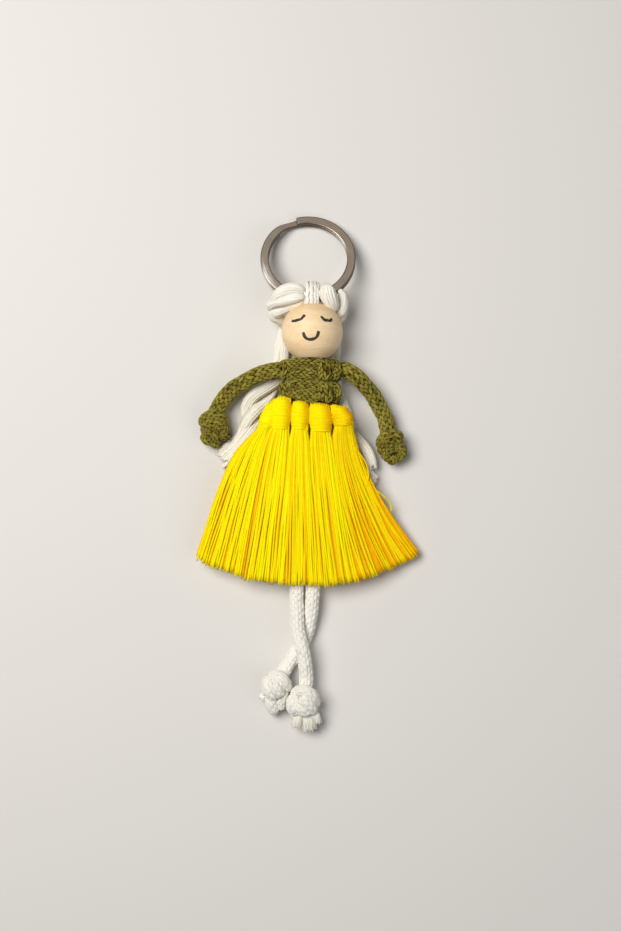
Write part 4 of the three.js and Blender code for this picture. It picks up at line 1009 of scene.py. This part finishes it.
def headParts(spec, k, seed):
    # a barrel wound with thread, below loops of yarn that pass over the waist cord. With t = 0 at the top
    # and 1 at the neck: swell = 0.90 - 0.11 t + 0.17 sin(pi t^1.15), and its middle moves evenly from top to neck
    topX, neckX, wide = spec["heads"][k]
    deep = spec["deep"] / 2
    middleZ = spec["height"] - spec["behind"][k]
    rng = np.random.default_rng(seed)
    top, neck = spec["top"][k], spec["neck"][k]

    def swell(y):
        t = np.clip((top - y) / (top - neck), 0, 1)
        return 0.90 - 0.11 * t + 0.17 * np.sin(np.pi * t ** 1.15)

    def middle(y):
        return topX + (neckX - topX) * (top - y) / (top - neck)

    y = np.linspace(top, neck - 0.2, 26)
    inner = wide - thread["coreIn"]
    # the barrel has a low tone: painted shade between the thread's turns
    parts = [tubes(fromWaist(middle(y), y, middleZ)[None], inner * swell(y) * rounded(top - y, 0.7), upward, 0.35,
                   circleOf(22, (deep - thread["coreIn"]) / inner))]
    turns = spec["turns"][k]
    t = np.linspace(0, 1, turns * thread["perTurn"])
    y = top - (top - neck) * t
    turn = 2 * np.pi * turns * t
    uneven = 1 + 0.010 * np.sin(3 * turn + rng.uniform(0, 6))
    uneven = uneven + thread["uneven"] * np.interp(t, np.linspace(0, 1, 30), rng.normal(size=30))
    # the first two turns are drawn in, where the loops come out
    out = swell(y) * (uneven - thread["drawnIn"] * (1 - ease(t * turns / 2)))
    x, z = (wide - thread["in"]) * out * np.cos(turn), (deep - thread["in"]) * out * np.sin(turn)
    lean = spec["lean"][k] * ease(t * 1.4) * (1 - ease((t - 0.8) / 0.3))
    path = fromWaist(middle(y) + x, y + lean * x, middleZ + z)
    outward = unit(fromWaist(x / wide ** 2, 0 * x, z / deep ** 2) - fromWaist(0, 0, 0))
    # painted shade: each head is darker on its right side, away from the light, with the tassel's painted light added
    tone = thread["tone"] + spec["tasselPaintedLight"][k] - thread["shade"] * ease((np.cos(turn) + 0.1) / 1.1)
    parts.append(tubes(path[None], thread["radius"], outward, tone + 0.05 * np.sin(turn * 0.37), 6))
    # a loop rises over the cord as cos^0.62, and the loops at the sides of the head end lower by drop |x|^2.5
    loops = spec["loops"][k]
    across = (np.arange(loops) + 0.5) / loops * 2 - 1 + rng.normal(0, 0.015, loops)
    drop = np.where(across < 0, *spec["drop"][k])
    crest = spec["loopTop"][k] - drop * np.abs(across) ** 2.5 + rng.normal(0, 0.10, loops)
    a = np.linspace(-np.pi / 2, np.pi / 2, 21)
    rise = np.cos(a) ** 0.62
    depthHere = (deep - loop["deepIn"]) * np.sqrt(np.clip(1 - (across * 0.93) ** 2, 0.08, 1))
    y = loop["foot"] + (crest[:, None] - loop["crestIn"] - loop["foot"]) * rise
    z = middleZ + depthHere[:, None] * np.sin(a) * (1 - 0.12 * rise ** 3)
    x = middle(y) + across[:, None] * (wide - loop["in"]) * 0.90
    loopPath = fromWaist(x, y, z)
    outward = unit(loopPath - fromWaist(middle(-1.5), -1.5, middleZ))
    # painted shade: the loops on the right side of a head are darker
    tone = loop["tone"] + spec["tasselPaintedLight"][k] - loop["shade"] * ease((across + 0.1) / 1.1)[:, None]
    parts.append(tubes(loopPath, wide / loops * loop["fill"], outward, tone + rng.normal(0, 0.07, (loops, 1)), 8))
    return parts


def hemLine(x):
    # the hem rises to both sides by lift |(x - centre) / reach|^2.5
    return hem["middle"] + hem["lift"] * np.abs((x - hem["centre"]) / hem["reach"]) ** 2.5


def frontHeights(hemX, s):
    # the skirt falls from the waist to a ridge in its middle and lower, and sooner, at its two sides
    top = front["height"]
    side = top + (hem["side"] - top) * s ** 0.55
    ridge = top + (hem["ridge"] - top) * s ** 0.7
    out = np.minimum(1, np.abs((hemX - hem["centre"]) / hem["reach"]) * 1.12) ** 3
    return ridge + (side - ridge) * out


def fringeParts(spec, k, seed):
    # strand: x = neck + (hem - neck) s^flare, y falls evenly to the hem line, and the layers thin out on the
    # way; at the neck the strands stand in the oval of the head
    rng = np.random.default_rng(seed)
    s = np.linspace(-0.03, 1, yarn["steps"])
    run = np.clip(s, 0, 1)
    left, right = spec["fan"][k]
    fanTop = spec["neck"][k] + 0.1
    hemLeft, hemRight = spec["hemEdges"][k:k + 2]
    flareLeft, flareRight = spec["flare"][k]
    inHead = 1 - ease(run / yarn["headReach"])

    def place(u, high, lengthen):
        neckX = left + (right - left) * (0.5 + (u - 0.5) * (yarn["neckWide"] - yarn["neckIn"] * inHead))
        hemX = hemLeft + (hemRight - hemLeft) * u
        flare = flareLeft + (flareRight - flareLeft) * u
        # the first tassel stays slim where the braid passes
        hold = 1 - spec["hold"][k] * (1 - u) ** 2 * np.exp(-(run / yarn["holdReach"]) ** 2)
        x = neckX + (hemX - neckX) * run ** flare * hold
        y = fanTop + (hemLine(hemX) - fanTop) * (run * lengthen) - np.minimum(s, 0) * 55
        thin = (spec["deep"] / 2 - 0.75) * (1 - np.sqrt(run)) + np.sqrt(run)
        oval = np.sqrt(np.clip(1 - (1.9 * (u - 0.5)) ** 2, 0.1, 1))
        half = thin * (np.minimum(1, 6 * u * (1 - u) + 0.45) * (1 - inHead) + oval * inHead)
        z = (frontHeights(hemX, run) if spec is front else half) + high * (half - yarn["radius"] * 0.8)
        return x, y, z

    # a filled sheet inside the strands keeps light from passing between them; its low tone is painted shade seen
    # between the strands
    u = np.linspace(0.02, 0.98, 15)[:, None]
    x, y, _ = place(u, 0, yarn["sheetHem"])
    upper, lower = (place(u, high, yarn["sheetHem"])[2] for high in (0.55, -0.45))
    sheet = np.concatenate([fromWaist(x, y, upper), fromWaist(x, y, lower)[::-1]])
    parts = [closedSurface(sheet, yarn["sheetShade"], capped=True, stretch=50)]
    layers = spec["layers"][k]
    for layer, many in enumerate(layers):
        # strands gather into clumps towards the hem, wave a little sideways and are cut unevenly
        one = (many, 1)
        high = 1 - 2 * layer / (len(layers) - 1)
        clumps = many / yarn["perClump"]
        u = (np.arange(many) + 0.5 + rng.uniform(-0.28, 0.28, many))[:, None] / many
        clump = np.clip(np.round(u * clumps + rng.uniform(-0.5, 0.5, one)) / clumps, 0.02, 0.98)
        u = u + (clump - u) * spec["gather"][k] * ease((run - 0.2) / 0.7)
        waves = 2 * np.pi * (rng.uniform(0.5, 1.6, one) * run + rng.uniform(0, 1, one))
        u = np.clip(u + yarn["wave"] * ease(run / 0.3) * np.sin(waves), 0.005, 0.995)
        pile = high + rng.normal(0, yarn["pile"], one) * (1 - 0.4 * run)
        cut = 1 + rng.normal(0, yarn["cut"], one) + 0.008 * np.sin(clump * 40 + layer) - yarn["short"] * layer
        x, y, z = place(u, np.clip(pile, -1.05, 1.05), cut)
        radius = yarn["radius"] * (1 + 0.14 * ease((run - 0.95) / 0.04)) * (1 + rng.normal(0, 0.05, one))
        radius[:, -1] *= yarn["tip"]
        # painted shade: the lower layers are darker, and each tassel's painted light is added
        tone = yarn["tone"] + spec["tasselPaintedLight"][k] - yarn["layerShade"] * layer + rng.normal(0, yarn["toneVary"], one)
        tone = tone - 0.08 * ease((run - 0.96) / 0.04)
        # painted shade: both side edges of a tassel are darker, where tassels meet, less on the lit left side
        tone = tone - yarn["leftShade"] * np.exp(-(u / 0.04) ** 2)
        tone = tone - yarn["rightShade"] * np.exp(-((u - 1) / 0.04) ** 2)
        parts.append(tubes(fromWaist(x, y, z), radius, upward, tone, 6))
    return parts


def makeTassels(way, spec, seed):
    # each tassel is a head and its yarn; two stray strands lie loose on the fifth one
    for k in range(len(spec["heads"])):
        count = "_%d" % (k + 1)
        body = "tassel" + count if spec is front else "back_skirt"
        makePiece(way + "_head" + count, headParts(spec, k, seed + k), "yellow_yarn", body, [way + "_wrap" + count])
        strands = fringeParts(spec, k, seed + 20 + k)
        if body == "tassel_5":
            for route in strays:
                strands.append(tubes(smoothLine(route, 0.8)[0][None], yarn["strayRadius"], upward, 0.8, 6))
        makePiece(way + "_yarn" + count, strands, "yellow_yarn", body, [way + "_fringe" + count])


makePiece("waist_cord_twist", waistCord(), "yellow_yarn", "torso", ["waist_cord"])
makeTassels("front", front, seed=200)
makeTassels("back", back, seed=240)
print("skirt")
